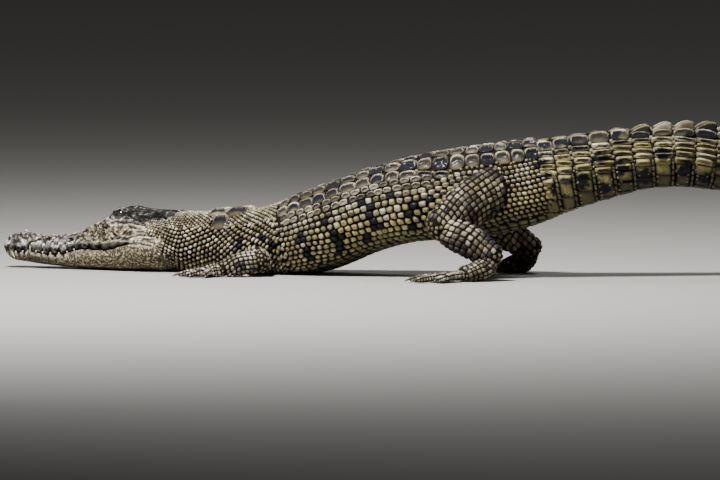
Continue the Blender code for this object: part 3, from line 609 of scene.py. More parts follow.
# every fold is a groove or swelling along the outward normal, by its distance in (t, height)
def shapeHead(t, rows, bite):
    spread = lambda values: np.repeat(values[:, None], rows.shape[1], axis=1)
    tt, side, height = spread(t), rows[..., 0], rows[..., 1]
    points = headPoint(tt, side, height)
    normal = facingOut(points, np.roll(points, -1, 1) - np.roll(points, 1, 1),
                       np.gradient(points, axis=0), 1e-9)
    w = np.abs(side)
    local = np.stack([tt, w, height], axis=-1)
    grainy = lambda scale, seed: 0.85 + 0.4 * noise(local, scale, seed)
    lateral = ease(w, 8, 16)
    above = height - spread(bite)
    push = np.zeros_like(tt)
    # gum lumps: half-round bulges in a row on each lip, with gaps between them darkened as painted
    # shade
    upperFade = fall(tt, 186, 238) * lateral
    lowerFade = (0.3 + 0.7 * fall(tt, 98, 135)) * fall(tt, 170, 196) * lateral
    upperLump, upperEdge = lumpRow(tt, head["upperLumps"])
    lowerLump, lowerEdge = lumpRow(tt, head["lowerLumps"])
    upperBand = bell(above, 5.0, 5.4) * (above > -0.01)
    lowerBand = bell(above, -4.8, 4.2) * (above < 0.01)
    # the gaps are wedges, widest at the mouth, whose line is scalloped by the lumps' ends
    wedge = (upperFade * ease(upperEdge - 0.46 - 0.030 * above, -0.10, 0.14) * (above > 0)
             * fall(above, 7, 12))
    lowWedge = (lowerFade * ease(lowerEdge - 0.50 + 0.055 * above, -0.10, 0.16) * (above < 0)
                * ease(above, -9, -5))
    scallop = np.where(above > 0, above < 0.6 + 4.6 * upperEdge**2 * upperFade,
                       -above < 0.6 + 3.6 * lowerEdge**2 * lowerFade)
    bulge = 4.6 * upperLump - 1.4 + 0.8 * noise(local, 3.8, 28)
    push += upperFade * upperBand * bulge - 2.8 * wedge
    push += lowerFade * lowerBand * (2.8 * lowerLump - 1.2) - 1.2 * lowWedge
    # rounded lip behind the lumps
    band = window(tt, 190, 226, 240, 256)
    push += band * bell(above, 6.0, 5.5) * (above > 0) * (2.4 + 1.2 * noise(local, 4.5, 27))
    # the line of the mouth itself
    gape = fall(tt, head["mouthEnd"] - 8, head["mouthEnd"] + 8)
    push -= gape * np.maximum(4.6 * bell(above, 0, 1.4), 3.4 * scallop * lateral)
    push -= gape * 1.4 * fall(above, -1.5, 0.0) * ease(above, -14, -3) * lateral
    # lips hang a little lower at each lump
    drop = upperFade * gape * (1.6 * upperLump - 0.8) * bell(above, 0, 4.0) * (above > -0.3)
    rise = lowerFade * gape * (1.2 * lowerLump - 0.8) * bell(above, 0, 3.0) * (above < -0.3)
    creaseShade, ridgeHighlight = np.zeros_like(tt), np.zeros_like(tt)
    for depth, wide, line in features["creases"]:
        gap = lineDistance(tt, height, line)
        push -= lateral * 1.5 * depth * bell(gap, 0, 1.2 * wide)
        push += lateral * depth * 0.6 * bell(gap, 3.2 * wide, 1.8 * wide)
        creaseShade = np.maximum(creaseShade, min(1.0, 0.6 + 0.45 * depth) * bell(gap, 0, 1.25 * wide))
        ridgeHighlight = np.maximum(ridgeHighlight, bell(gap, 3.0 * wide, 1.2 * wide))
    # notch where the fourth lower tooth shows
    place, top, wide, depth = features["notch"]
    push -= (lateral * depth * bell(tt, place, wide) * fall(height, top - 1, top + 4)
             * ease(above, -3, 1))
    # nostril mound and its two slits
    place, offset = features["nostril"]
    push += 0.5 * np.exp(-((tt - 37) / 9) ** 4 - (w / 15) ** 4) * ease(height, 48, 54)
    push -= 1.1 * bell(lineDistance(tt, height, ((27, 54.2), (48, 54.8))), 0, 1.3) * ease(w, 6, 9)
    bow = w - offset - 0.035 * (tt - place) ** 2
    push -= 2.6 * np.exp(-(bow / 1.2) ** 2 - ((tt - place) / 5.5) ** 4) * ease(height, 50, 55)
    # ridges in front of the eyes and the rough top of the snout
    ridge = lineDistance(tt, w, ((205, 25), (178, 19), (150, 13)))
    push += 1.6 * bell(ridge, 0, 3.4) * ease(height, 56, 62) * (0.7 + 0.5 * noise(local, 7.0, 2))
    top = ease(above, 10, 18)
    push += top * fall(tt, 185, 205) * (1.6 * noise(local, 7.5, 11) + 1.2 * noise(local, 3.6, 12))
    # cracks round the small plates of the cheek, the snout and the throat
    cheek = window(tt, 120, 165, 242, 262) * ease(above, 9, 15) * fall(height, 72, 80)
    cracks = cheek * bell(cells(local * (0.8, 1, 1.15), 7.4, 13), 0, 0.25)
    push -= 2.3 * cracks
    push += cheek * 1.7 * noise(local, 4.5, 14)
    snout = top * fall(tt, 192, 206) * bell(cells(local, 7.5, 17), 0, 0.22)
    push -= 1.6 * snout
    cracks = np.maximum(cracks, snout)
    throat = fall(above, -9, -4) * ease(tt, 60, 110)
    push -= throat * 0.34 * bell(cells(local, 4.2, 19), 0, 0.14)
    # brows, ear slit with its flap, edge of the skull table and the jaw's swelling
    push += 1.4 * np.exp(-((tt - 222) / 15) ** 2 - ((height - 101) / 3.2) ** 2) * lateral
    gap = lineDistance(tt, height, features["ear"])
    opening = 0.8 + 1.7 * ease(tt, 262, 286)
    push -= lateral * (1.2 + 3.6 * ease(tt, 264, 286)) * bell(gap, 0, opening, 4)
    push += 1.5 * np.exp(-((tt - 280) / 26) ** 2 - ((height - 84) / 4.2) ** 2) * lateral
    push += 1.2 * ease(tt, 250, 265) * bell(w, 38, 4.0) * ease(height, 91, 95)
    push += 2.2 * np.exp(-((tt - 272) / 26) ** 2 - ((height - 34) / 13) ** 2) * lateral
    # fine wrinkles that run back from the corner of the mouth
    corner = window(tt, 232, 244, 296, 306) * ease(above, -3, 1) * fall(above, 14, 20) * lateral
    wrinkles = corner * ease(noise(local * (0.16, 0.6, 1.3), 2.8, 31), 0.0, 0.5)
    push -= 0.9 * wrinkles
    fade = fall(tt, head["length"] - 10, head["length"])
    points = points + normal * (push * fade)[..., None]
    points[..., 2] += (rise - drop) * fade
    # eye: inside the opening the skin lies behind the ball, round it the lids hug the ball
    ahead = tt - eye["middle"][0]
    high = height - eye["middle"][1] - 0.10 * ahead
    past = np.abs(ahead) - eye["halfLength"]
    reach = np.clip(1 - (ahead / eye["halfLength"]) ** 2, 0, 1)
    lid = np.where(high > 0, eye["upperLid"] * reach ** 0.4, eye["lowerLid"] * reach ** 0.62)
    outside = np.where(past < 0, np.abs(high) - lid, np.hypot(past, high))
    mask = lateral * ease(w, 18, 24)
    distance, offset, level = eye["ball"]
    ball = headPoint(0 * tt + distance, np.sign(side) * offset, 0 * tt + level)
    ray = points - ball
    length = np.linalg.norm(ray, axis=2)
    ray = unit(ray, 1e-9)
    wanted = (eye["radius"] + (1.7 + 0.9 * (high > 0)) * bell(outside, 1.8, 1.5) + 0.5
              - 3.6 * fall(outside, -0.9, 0.4))
    wanted = wanted - 1.6 * bell(outside, 4.6, 1.1) * (high < 0)
    nearBall = mask * fall(outside, 2.2, 6.5)
    length = length * (1 - nearBall) + wanted * nearBall
    eyeZone = (mask > 0.02) & (outside < 6.5)
    points = np.where(eyeZone[..., None], ball + ray * length[..., None], points)
    # dark: painted shade in the ear slit, along the mouth line, in the gaps and towards the edges of
    # the lumps, at the lids' edges and folds, in creases, wrinkles, cracks, the notch and the nostril
    # slits; then the dusky lumps, their own colour and painted shade, the brows and sides of the
    # skull's table, and the front of the lower jaw
    place, top, wide, depth = features["notch"]
    notch = lateral * bell(tt - place - 0.10 * (height - 34), 0, 1.7, 4)
    streaks = ease(noise(local * (0.25, 1, 1.5), 3.6, 29), 0.05, 0.7)     # fine pale lines
    low = fall(above, -3, 0) * ease(tt, 0, 14) * fall(tt, 60, 150)
    nostrils = lineDistance(tt, height, ((26, 54.6), (49, 56.0)))
    dark = [
        bell(gap, 0, opening + 1.0, 4) * lateral, gape * bell(above, 0, 1.9, 4) * lateral,
        gape * scallop * lateral * 0.97, wedge, 0.85 * lowWedge,
        mask * bell(outside + 0.2, 0.7 * (high > 0), 1.3),
        mask * 0.85 * bell(outside, 4.6, 0.9) * (high < 2),
        mask * 0.55 * bell(outside, 4.6, 1.1) * (high > 2),
        lateral * creaseShade, 0.8 * wrinkles, cracks * grainy(9.0, 30),
        notch * fall(height, top - 1, top + 2) * ease(above, -2, 0),
        0.92 * upperFade * upperBand * grainy(4.0, 26),
        (0.92 - 0.42 * streaks) * ease(tt, 222, 236) * ease(height, 77, 83),
        0.94 * window(tt, 202, 210, 234, 242) * ease(height, 94.5, 97.0) * grainy(4.0, 24),
        0.45 * low * lateral * (1 - lowerLump**3 * lowerBand),
        0.8 * upperFade * upperBand * upperEdge**2, 0.8 * bell(nostrils, 0, 1.1) * ease(w, 6, 9)]
    for place, level, long, tall, strength in features["shadows"]:
        reach = ((tt - place) / long) ** 2 + ((height - level) / tall) ** 2
        dark.append(strength * lateral * bell(reach, 0, 1))
    dark = np.clip(np.maximum.reduce(dark), 0, 1)
    cap = window(tt, 27, 31, 45, 50) * fall(w, 10, 13)
    # pale: painted highlights on the lids' rims, on the ridges beside the creases and on the lumps'
    # middles, and a pale cap on the nostril mound
    pale = [
        mask * bell(outside, 2.4, 1.0) * np.where(high > 0, 0.10, 0.85), 0.32 * lateral * ridgeHighlight,
        0.2 * upperFade * upperLump**4 * upperBand, 0.4 * lowerFade * lowerLump**4 * lowerBand,
        0.45 * cap * ease(height, 57, 59.5) * (0.6 + 0.8 * noise(local, 3.0, 25))]
    pale = np.clip(np.maximum.reduce(pale), 0, 1) * (1 - dark)
    cream = np.maximum.reduce([
        cheek, ease(tt, 236, 246) * fall(height, 58, 64) * ease(above, 0, 2),
        ease(tt, 150, 185) * fall(height, 74, 84) * ease(above, 6, 12)])
    brown = (window(tt, 12, 40, 240, 256) * (0.5 + 0.45 * ease(tt, 150, 190))
             * ease(above, 0, 2) * fall(above, 8, 14))
    return aboveFloor(points), {"dark": dark, "pale": pale, "lip": above, "cream": cream,
                                "brown": brown, "along": tt - head["length"]}


# the skin's values behind the head; "along" is its distance behind the skull
bareGround = {"dark": 0.0, "pale": 0.0, "lip": 60.0, "cream": 0.0, "brown": 0.0, "along": 300.0}


def skinBody():
    headRings, face = shapeHead(*headGrid())
    sides = head["ringSides"]
    along = np.concatenate([np.arange(4.2, 42, 7.0), np.arange(50, bodyLength - 4, body["ringGap"]),
                            [bodyLength - 1.5]])
    q = np.arange(sides) * 2 / sides                 # 0 top, 1 bottom, on to 2 back at the top
    signed = np.where(q <= 1, q, q - 2)
    s = np.repeat(along[:, None], sides, axis=1)
    place, normal = bodySurface.at(s, signed[None] * bodySurface.halfAt(s))
    place = place - normal * (body["inset"] * ease(s, 0, 30))[..., None]
    bare = {key: 0 * s + level for key, level in bareGround.items()}
    bare["dark"] = darkAt(s, np.abs(signed)[None] + 0 * s, np.sign(signed)[None] + 0 * s, place)
    bare["along"] = s
    values = {key: withEnds(np.concatenate([face[key], bare[key]])) for key in bare}
    skin = closeRings(np.concatenate([headRings, place]))
    return outward(makeObject("hide", *skin, None, values))


def digitLines(kind):
    lines = []
    for angle, length in limbs["digits"][kind]:
        turn = math.radians(angle)
        ahead = np.array([math.cos(turn), math.sin(turn), 0])
        start = np.array(limbs["root"][kind], float) + ahead * limbs["spread"][kind] * 0.5
        tip = start + ahead * length
        tip[2] = limbs["radii"][kind][1]
        lines.append((start, tip, ahead))
    return lines


# stations along each digit: knuckles swell and the stretches between them are slimmer
def digitStations(kind):
    thick, thin = limbs["radii"][kind]
    result = []
    for begin, tip, ahead in digitLines(kind):
        stations = [(*(begin - ahead * 6), thick + 1.5, thick + 0.5)]
        for share in np.linspace(0, 1, 7):
            spot = begin + (tip - begin) * share + np.array([0, 0, 1.5 * math.sin(share * math.pi)])
            radius = thick + (thin - thick) * share + 0.7 * math.cos(share * math.tau * 2.5) - 0.3
            stations.append((*spot, radius, radius))
        result.append(stations)
    return result


def digitRings(place, stations):
    return limbRings(place, stations, 26, 24, floor=False)


# the four limbs: their frame and the tubes that make each one
def limbPlan():
    plans = []
    for side, hand in (("left", 1), ("right", -1)):
        for kind, (base, degrees, moved, tubes) in limbs["plan"].items():
            plans.append((side, kind, limbFrame(base, degrees, hand, moved[side]), tubes))
    return plans


# one limb as tubes, digits and web joined by a voxel surface, smoothed and thinned
def limbSkin(side, kind, place, tubes):
    forms = [limbRings(place, limbs[name])[0] for name in tubes]
    forms += [digitRings(place, stations)[0] for stations in digitStations(kind)]
    made = outward(makeObject("limb_" + kind + "_" + side, *closeAll(forms)))
    # web: a thin plate from the palm between the digits
    lines = digitLines(kind)
    tips = [begin + (tip - begin) * limbs["web"][kind] for begin, tip, _ in lines]
    first, last = lines[0], lines[-1]
    edge = [tips[0]]
    for before, after in zip(tips[:-1], tips[1:]):
        edge += [(before + after) * 0.44 + (first[0] + last[0]) * 0.06, after]
    centre = (first[0] + last[0]) / 2 - (first[2] + last[2]) * 5
    flat = np.array([[x, y, 3.2] for x, y, _ in [centre] + edge])
    count = len(flat)
    tris = [(0, i, i + 1) for i in range(1, count - 1)]
    tris += [(count, count + i + 1, count + i) for i in range(1, count - 1)]
    quads = [(i, (i + 1) % count, (i + 1) % count + count, i + count) for i in range(count)]
    corners = np.concatenate([place(flat), place(flat + [0, 0, 3.6])])
    plate = outward(makeObject("web", corners, quads, tris))
    bpy.context.view_layer.objects.active = made
    shape = bmesh.new()
    for piece in (made, plate):
        shape.from_mesh(piece.data)
    shape.to_mesh(made.data)
    shape.free()
    bpy.data.objects.remove(plate)
    join = made.modifiers.new("voxels", "REMESH")
    join.mode, join.voxel_size = "VOXEL", limbs["voxel"]
    soften = made.modifiers.new("soften", "SMOOTH")
    soften.factor, soften.iterations = 0.5, 4
    made.modifiers.new("fewer", "DECIMATE").ratio = limbs["kept"]
    settle(made)
    return made


print("skin")
hide = skinBody()
print("head and body", len(hide.data.polygons))
plans = limbPlan()
for side, kind, place, tubes in plans:
    limb = limbSkin(side, kind, place, tubes)
    union = hide.modifiers.new("union", "BOOLEAN")
    union.operation, union.solver, union.object = "UNION", "EXACT", limb
    settle(hide)
    bpy.data.objects.remove(limb)
    print("joined", kind, side, len(hide.data.polygons))
outward(hide)
hide.data.shade_smooth()


# A scale is a small closed dome laid on a surface. Its template: rings of a superellipse outline
# at growing radius, then a skirt that dips under the skin and a floor.
def domeTemplate(segments, radii, squareness):
    turn = (np.arange(segments) + 0.5) * math.tau / segments
    x, y = (np.sign(part) * np.abs(part) ** (2 / squareness)
            for part in (np.cos(turn), np.sin(turn)))
    radii = np.array(radii, float)
    count = len(radii)
    j = np.arange(segments)
    k = (j + 1) % segments
    inner = 1 + np.arange(count)[:, None] * segments
    outer = inner + segments
    last = 1 + count * segments
    return {
        "u": np.concatenate([[0], np.outer(radii, x).ravel(), x, [0]]),
        "v": np.concatenate([[0], np.outer(radii, y).ravel(), y, [0]]),
        "turn": np.concatenate([[0], np.tile(turn, count + 1), [0]]),
        "rho": np.concatenate([[0], np.repeat(radii, segments), np.ones(segments), [0]]),
        "skirt": np.arange(last + segments + 1) >= last,
        "quads": np.stack([inner + j, outer + j, outer + k, inner + k], axis=-1).reshape(-1, 4),
        "tris": np.concatenate([np.stack([0 * j, 1 + j, 1 + k], axis=1),
                                np.stack([last + k, last + j, 0 * j + last + segments], axis=1)]),
    }


bead = domeTemplate(10, (0.45, 0.8, 1.0), 2.5)
square = domeTemplate(12, (0.28, 0.6, 0.86, 1.0), 3.8)
plank = domeTemplate(24, (0.25, 0.5, 0.72, 0.88, 1.0), 5.0)
scute = domeTemplate(24, (0.18, 0.36, 0.54, 0.7, 0.86, 1.0), 3.3)
scaleLook = {"skirt": 1.6, "wobble": 0.06, "sizeSpread": 0.09, "turnSpread": 0.07}
scaleValues = ("dark", "warm", "olive", "tone", "rim")
placed = []


# lay scales of one template on a surface. Height: a dome, an arched keel steeper on its lower
# face with a hollow below it, and a pit in the middle. Painted shade: the keel's lower face, the
# lens, is darkened as if in the keel's shadow, and a painted highlight keeps the keel's crest pale.
def scaleField(surface, template, s, a, halfS, halfA, height, turn=0.0, keel=0.0, lens=0.0, pit=0.0,
               roundness=2.2, arch=0.4, crestAt=-0.22, mark=None, tint=0.0, fine=False, rugged=0.0):
    s, a = np.asarray(s, float), np.asarray(a, float)
    count = len(s)
    column = lambda value: np.broadcast_to(np.asarray(value, float), s.shape)[:, None]
    vary = lambda: 2 * rng.random((count, 1)) - 1
    u, v, rho, around = (template[key][None] for key in ("u", "v", "rho", "turn"))
    keel, pit, keeled = column(keel), column(pit), column(keel) > 2
    size = 1 + scaleLook["sizeSpread"] * vary()
    phase = rng.random((2, count, 1)) * math.tau
    wobble = np.cos(2 * around + phase[0]) + 0.7 * np.cos(3 * around + phase[1])
    size = size * (1 + scaleLook["wobble"] * wobble)
    angle = column(turn) + scaleLook["turnSpread"] * vary()
    x, y = u * column(halfS) * size, v * column(halfA) * size
    mirror = np.where(a < 0, -1, 1)[:, None]
    allS = s[:, None] + (np.cos(angle) * x - np.sin(angle) * y)
    allA = a[:, None] + (np.sin(angle) * x + np.cos(angle) * y) * mirror
    place, normal = surface.at(allS, allA)
    crest = v - crestAt - arch * u**2
    ridge = np.where(crest < 0, bell(crest, 0, 0.45), bell(crest, 0, 0.2)) * (1 - rho**4)
    hollow = bell(crest, 0.55, 0.3) * (1 - u**2)
    rise = column(height) * (1.25 - rho ** column(roundness)) + keel * (ridge - 0.12 * hollow)
    rise = rise - pit * bell(rho, 0, 0.25)
    if rugged:
        rise = rise + rugged * (noise(place, 5.0, 51) + 0.6 * noise(place, 2.6, 52)) * (1 - rho**6)
    points = place + normal * np.where(template["skirt"], -scaleLook["skirt"], rise)[..., None]
    centre, outwardAt = surface.at(s, a)
    if mark is None:
        down = np.abs(a) / surface.halfAt(s)
        mark = darkAt(s, down, np.sign(a), centre), warmAt(s, down, centre), oliveAt(s, down)
    dark = mark[0][:, None]
    if fine:                                         # markings that run through the scales
        dark = darkAt(allS, np.abs(allA) / surface.halfAt(allS), np.sign(allA), place)
    # painted highlight: the markings fade along the keel's crest
    dark = dark * (1 - 0.85 * bell(crest, 0, 0.13) * keeled)
    # painted shade: the lens below the keel is darkened by the lens amount
    below = ease(crest, 0.0, 0.12) * bell(np.maximum(crest, 0), 0, 1.15, 4) * (1 - u**8)
    dark = dark + column(lens) * below + 0.8 * (pit > 0) * bell(rho, 0, 0.22)
    placed.append((centre + outwardAt * 0.5, np.broadcast_to((halfS + halfA) / 2, s.shape)))
    # painted highlight: keeled scales get a pale line along the crest and are a little darker elsewhere
    tone = (rng.random((count, 1)) * 0.8 + 0.1 + column(tint)
            + keeled * (0.7 * bell(crest, -0.06, 0.15) - 0.12))
    flat = lambda value: np.broadcast_to(value, (count, rho.size)).ravel()
    return {"points": aboveFloor(points).reshape(-1, 3), "template": template, "count": count,
            "dark": flat(np.clip(dark, 0, 1)), "warm": flat(mark[1][:, None]),
            "olive": flat(mark[2][:, None]), "tone": flat(np.clip(tone, 0, 1)),
            "rim": flat(np.where(template["skirt"], 1.2, rho - 0.10 * keeled)),
            "uv": np.stack([allS, allA], axis=-1).reshape(-1, 2)}


bodyField = partial(scaleField, bodySurface)


# a bake map: places on the unrolled surface fitted to the unit square, for each face corner
def fitted(uv):
    return 0.02 + 0.96 * (uv - uv.min(axis=0)) / np.ptp(uv, axis=0).max()


def bakeMap(made, corners):
    layer = made.data.uv_layers.new(name="OFBake")
    layer.data.foreach_set("uv", corners.astype(np.float32).ravel())


# several fields as one mesh object; its bake map is the place of each corner on the unrolled
# surface, a scale's floor gathered to one point
def makeScales(name, fields):
    fields = [field for field in fields if field["count"]]
    quads, tris, floors, start = [], [], [], 0
    for field in fields:
        t = field["template"]
        base = start + np.arange(field["count"])[:, None, None] * len(t["u"])
        quads.append((t["quads"][None] + base).reshape(-1, 4))
        tris.append((t["tris"][None] + base).reshape(-1, 3))
        floors.append(np.tile(np.arange(len(t["tris"])) >= len(t["tris"]) // 2, field["count"]))
        start += len(field["points"])
    quads, tris, floors = np.concatenate(quads), np.concatenate(tris), np.concatenate(floors)
    join = lambda key: np.concatenate([field[key] for field in fields])
    points, uv = join("points"), fitted(join("uv"))
    first = points[:len(fields[0]["template"]["u"])]
    _, second, third = fields[0]["template"]["tris"][0]
    if np.cross(first[second] - first[0], first[third] - first[0]) @ (first[0] - first[-1]) < 0:
        quads, tris = quads[:, ::-1], tris[:, ::-1]
    made = makeObject(name, points, quads, tris, plates, {key: join(key) for key in scaleValues})
    triUv = uv[tris]
    triUv[floors] = triUv[floors][:, :1]
    bakeMap(made, np.concatenate([uv[quads].reshape(-1, 2), triUv.reshape(-1, 2)]))
    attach(made, "root")
    print(name, len(quads) * 2 + len(tris), "triangles")


# lattice over a surface: steps along it and down it in units of a pitch that changes with
# distance. The two step directions are angles, 0 along and 90 down the side.
def lattice(fromS, toS, pitchAt, startAt, first, second, rows, ratio=1.0, stagger=0.0):
    fine = np.linspace(fromS, toS, 900)
    amount = np.concatenate([[0], np.cumsum(np.diff(fine) / pitchAt((fine[1:] + fine[:-1]) / 2))])
    margin = 2 * rows + 60                           # enough for any slant of the rows
    i, j = np.meshgrid(np.arange(-margin, int(amount[-1]) + margin), np.arange(-40, rows + 60),
                       indexing="ij")
    i, j = i.ravel() + stagger * (j.ravel() % 2), j.ravel()
    one, two = math.radians(first), math.radians(second)
    along = i * math.cos(one) + j * ratio * math.cos(two)
    down = i * math.sin(one) + j * ratio * math.sin(two) + 0.5
    keep = (along > 0) & (along < amount[-1]) & (down > 0) & (down < rows * ratio)
    s = np.interp(along[keep], amount, fine)
    pitch = pitchAt(s)
    a = startAt(s) + down[keep] * pitch
    wander = np.stack([s, a, 0 * s], axis=1)
    return s + pitch * 0.22 * noise(wander, 34.0, 31), a + pitch * 0.16 * noise(wander, 30.0, 32)


tubes = []
for side, kind, place, names in plans:
    for name in names:
        surface = Surface(*limbRings(place, limbs[name]), 25)
        tubes.append({"name": name, "side": side, "kind": kind, "surface": surface})


# inside a form where the nearest surface point faces away; nothing is inside beyond its open start
def insideOf(surface, points, margin):
    if not len(points):
        return np.zeros(0, bool)
    grid, normals = surface.points[::2, ::2], surface.normals[::2, ::2]
    flat, facing = grid.reshape(-1, 3), normals.reshape(-1, 3)
    start = grid[0].mean(axis=0)
    ahead = grid[1].mean(axis=0) - start
    result = []
    for chunk in np.array_split(points, max(1, len(points) // 400)):
        nearest = ((chunk[:, None] - flat[None]) ** 2).sum(axis=2).argmin(axis=1)
        facingAway = ((chunk - flat[nearest]) * facing[nearest]).sum(axis=1) < margin
        beyond = (nearest < grid.shape[1]) & ((chunk - start) @ ahead < 0)
        result.append(facingAway & ~beyond)
    return np.concatenate(result)


coarseBody = Surface(bodyRings(bodyAlong[::4], 96), bodyAlong[::4], 33)


def freeOfLimbs(s, a):
    points, _ = bodySurface.at(s, a)
    keep = np.ones(len(s), bool)
    for tube in tubes:
        middle = tube["surface"].points.mean(axis=(0, 1))
        index = np.nonzero((np.linalg.norm(points - middle, axis=1) < 120) & keep)[0]
        keep[index[insideOf(tube["surface"], points[index], 1.0)]] = False
    return keep


def outsideOthers(tube, points):
    keep = ~insideOf(coarseBody, points, 1.5)
    for other in tubes:
        if other is not tube and (other["side"], other["kind"]) == (tube["side"], tube["kind"]):
            keep &= ~insideOf(other["surface"], points, 0.8)
    return keep


def both(s, a):
    return np.concatenate([s, s]), np.concatenate([a, -a])


# places on both sides of the body that no limb, neck shield or other reserved oval covers
def clear(s, a, ovals=()):
    s, a = both(s, a)
    keep = freeOfLimbs(s, a)
    for distance, offset, length, width in ovals:
        keep &= np.hypot((s - distance) / (length / 2 + 2.2), (a - offset) / (width / 2 + 2.2)) > 1
    return s[keep], a[keep]


# neck shields: distance, arc from the top, length, width
neckShields = tuple((distance, arc * hand, length, width) for distance, arc, length, width in
                    ((82, 21, 30, 30), (99, 53, 33, 27), (121, 25, 40, 38)) for hand in (1, -1))
backLook = {
    "columns": (224.0, 645.5, 18),
    # share of the way down at the front and at the rear, half width in the same, last place and
    # height of the keel
    "rows": ((0.043, 0.046, 0.0385, 0.042, 660, 2.4), (0.126, 0.137, 0.0385, 0.044, 660, 2.9),
             (0.209, 0.246, 0.0385, 0.060, 660, 3.5), (0.292, 0.345, 0.0385, 0.026, 520, 4.0)),
    # looser rows of ovals below: share of the way down, pitch and shift
    "ovals": ((0.348, 16.5, 0.0), (0.395, 15.0, 0.5))}


# scale of the pitch, share of the way down at the top and the bottom, rows, a bead's half length
neckLook = {"fields": ((0.95, 0.33, 0.97, 44, 0.44), (0.67, 0.0, 0.35, 36, 0.46)),
            "pitch": ((-45, -10, 30, 90, 212), (4.6, 6.6, 8.8, 9.8, 10.2))}


# granules behind the jaw grow into slanting rows of beads
def neckFields():
    fields = []
    for scale, top, bottom, rows, long in neckLook["fields"]:
        pitch = lambda s: scale * np.interp(s, *neckLook["pitch"])
        s, a = lattice(-42, 214, pitch, lambda s: 0 * s - 4.0, -26, 104, rows, ratio=0.98)
        down = a / bodySurface.halfAt(s)
        keep = (down > top) & (down < bottom) & (a > 1.5)
        s, a, down = s[keep], a[keep], down[keep]
        points, _ = bodySurface.at(s, a)
        border = np.interp(points[:, 2], (8, 30, 56, 64, 84, 88), (-12, -8, -2, -32, -34, 10))
        # the folded skin under the jaw's corner is left to the loose beads
        keep = (s > border) & ~((s < 20) & (down > 0.60))
        s, a = clear(s[keep], a[keep], neckShields)
        low = ease(np.abs(a) / bodySurface.halfAt(s), 0.42, 0.62)
        fields.append(bodyField(bead, s, a, pitch(s) * long, pitch(s) * 0.345,
                                 pitch(s) * 0.46, turn=-0.48 - 0.2 * low, tint=-0.02))
    # the horn at the rear corner of the skull's table
    s, a = both(np.array([4.0]), np.array([36.0]))
    fields.append(bodyField(scute, s, a, 16.0, 3.4, 1.8, keel=1.8, turn=-0.12, arch=0.0,
                             rugged=0.6, tint=-0.3, mark=(0 * s + 0.7, 0 * s, 0 * s)))
    return fields


def shieldFields():
    s, a, length, width = np.array(neckShields, float).T
    # painted shade on each shield's face below its high keel (lens)
    return [bodyField(scute, s, a, length / 2, width / 2, 3.0, keel=7.0, lens=1.0,
                       arch=0.55, crestAt=-0.62, roundness=3, tint=-0.1, rugged=0.7)]


def backFields():
    fields = []
    for k, (row, laterRow, size, laterSize, last, keel) in enumerate(backLook["rows"]):
        s = np.linspace(*backLook["columns"]) + 1.4 * k
        s = s[s < last]
        later = ease(s, 400, 530)
        half = bodySurface.halfAt(s)
        s, a = both(s, (row + (laterRow - row) * later) * half)
        later = np.tile(later, 2)
        across = (size + (laterSize - size) * later) * np.tile(half, 2)
        s = s + 1.6 * (rng.random(len(s)) - 0.5)
        keep = freeOfLimbs(s, a)
        s, a, across, later = s[keep], a[keep], across[keep], later[keep]
        # painted shade below each scute's keel (lens)
        fields.append(bodyField(
            scute, s, a, 12.3 * np.interp(s, (224, 260), (0.85, 1)), across * 1.05, 1.5,
            keel=keel * (1 + 0.3 * later), lens=0.88 + 0.12 * rng.random(len(s)), arch=0.5,
            crestAt=-0.58 + 0.12 * (rng.random((len(s), 1)) - 0.5), roundness=3, tint=-0.32,
            rugged=0.9))
    for row, pitch, phase in backLook["ovals"]:
        s = np.arange(232 + phase * pitch, 490, pitch)
        s, a = clear(s, row * bodySurface.halfAt(s))
        s = s + 3.0 * (rng.random(len(s)) - 0.5)
        # painted shade below the ovals' low keels (lens)
        fields.append(bodyField(scute, s, a, pitch * 0.46, 5.4, 1.2, keel=2.4, turn=-0.06,
                                lens=0.6 + 0.4 * rng.random(len(s)), arch=0.5, crestAt=-0.5,
                                tint=-0.12))
    return fields


# where flank and belly begin and end; by distance, their pitch and the share of the way down at
# which they start
flankLook = {"span": (208, 657), "bellyStart": 0.79, "bellyPitch": ((0, 210, 600), (12.0, 14.5, 14.0)),
             "pitch": ((205, 262, 330, 450, 520, 600, 658), (8.8, 9.6, 11.6, 12.6, 10.0, 8.4, 8.2)),
             "start": ((206, 225, 470, 530, 657), (0.30, 0.422, 0.42, 0.325, 0.315))}


def flankFields():
    pitch = lambda s: np.interp(s, *flankLook["pitch"])
    start = lambda s: bodySurface.halfAt(s) * np.interp(s, *flankLook["start"])
    s, a = lattice(*flankLook["span"], pitch, start, 0, 94, 20, ratio=0.93, stagger=0.3)
    keep = a / bodySurface.halfAt(s) < 0.775
    s, a = clear(s[keep], a[keep])
    upper = fall(np.abs(a) / bodySurface.halfAt(s), 0.46, 0.54)
    large = window(s, 290, 350, 500, 560) > 0.5
    fields = []
    for keep, template, across, pore in ((large, square, 0.472, 0.5), (~large, bead, 0.465, 0.0)):
        size, count = pitch(s[keep]), keep.sum()
        # the upper flank's scales get a low keel with painted shade below it (lens)
        fields.append(bodyField(
            template, s[keep], a[keep], size * across, size * 0.93 * 0.468, size * 0.25,
            pit=pore * (rng.random(count) < 0.45), keel=1.4 * upper[keep],
            lens=0.9 * upper[keep] * rng.random(count), roundness=2.8, turn=0.05))
    return fields


def bellyFields():
    pitch = lambda s: np.interp(s, *flankLook["bellyPitch"])
    start = lambda s: bodySurface.halfAt(s) * flankLook["bellyStart"]
    s, a = lattice(*flankLook["span"], pitch, start, 0, 90, 6, ratio=0.95)
    keep = a / bodySurface.halfAt(s) < 1 - 0.4 * pitch(s) / bodySurface.halfAt(s)
    s, a = clear(s[keep], a[keep])
    return [bodyField(square, s, a, pitch(s) * 0.465, pitch(s) * 0.445, 0.9, roundness=5)]


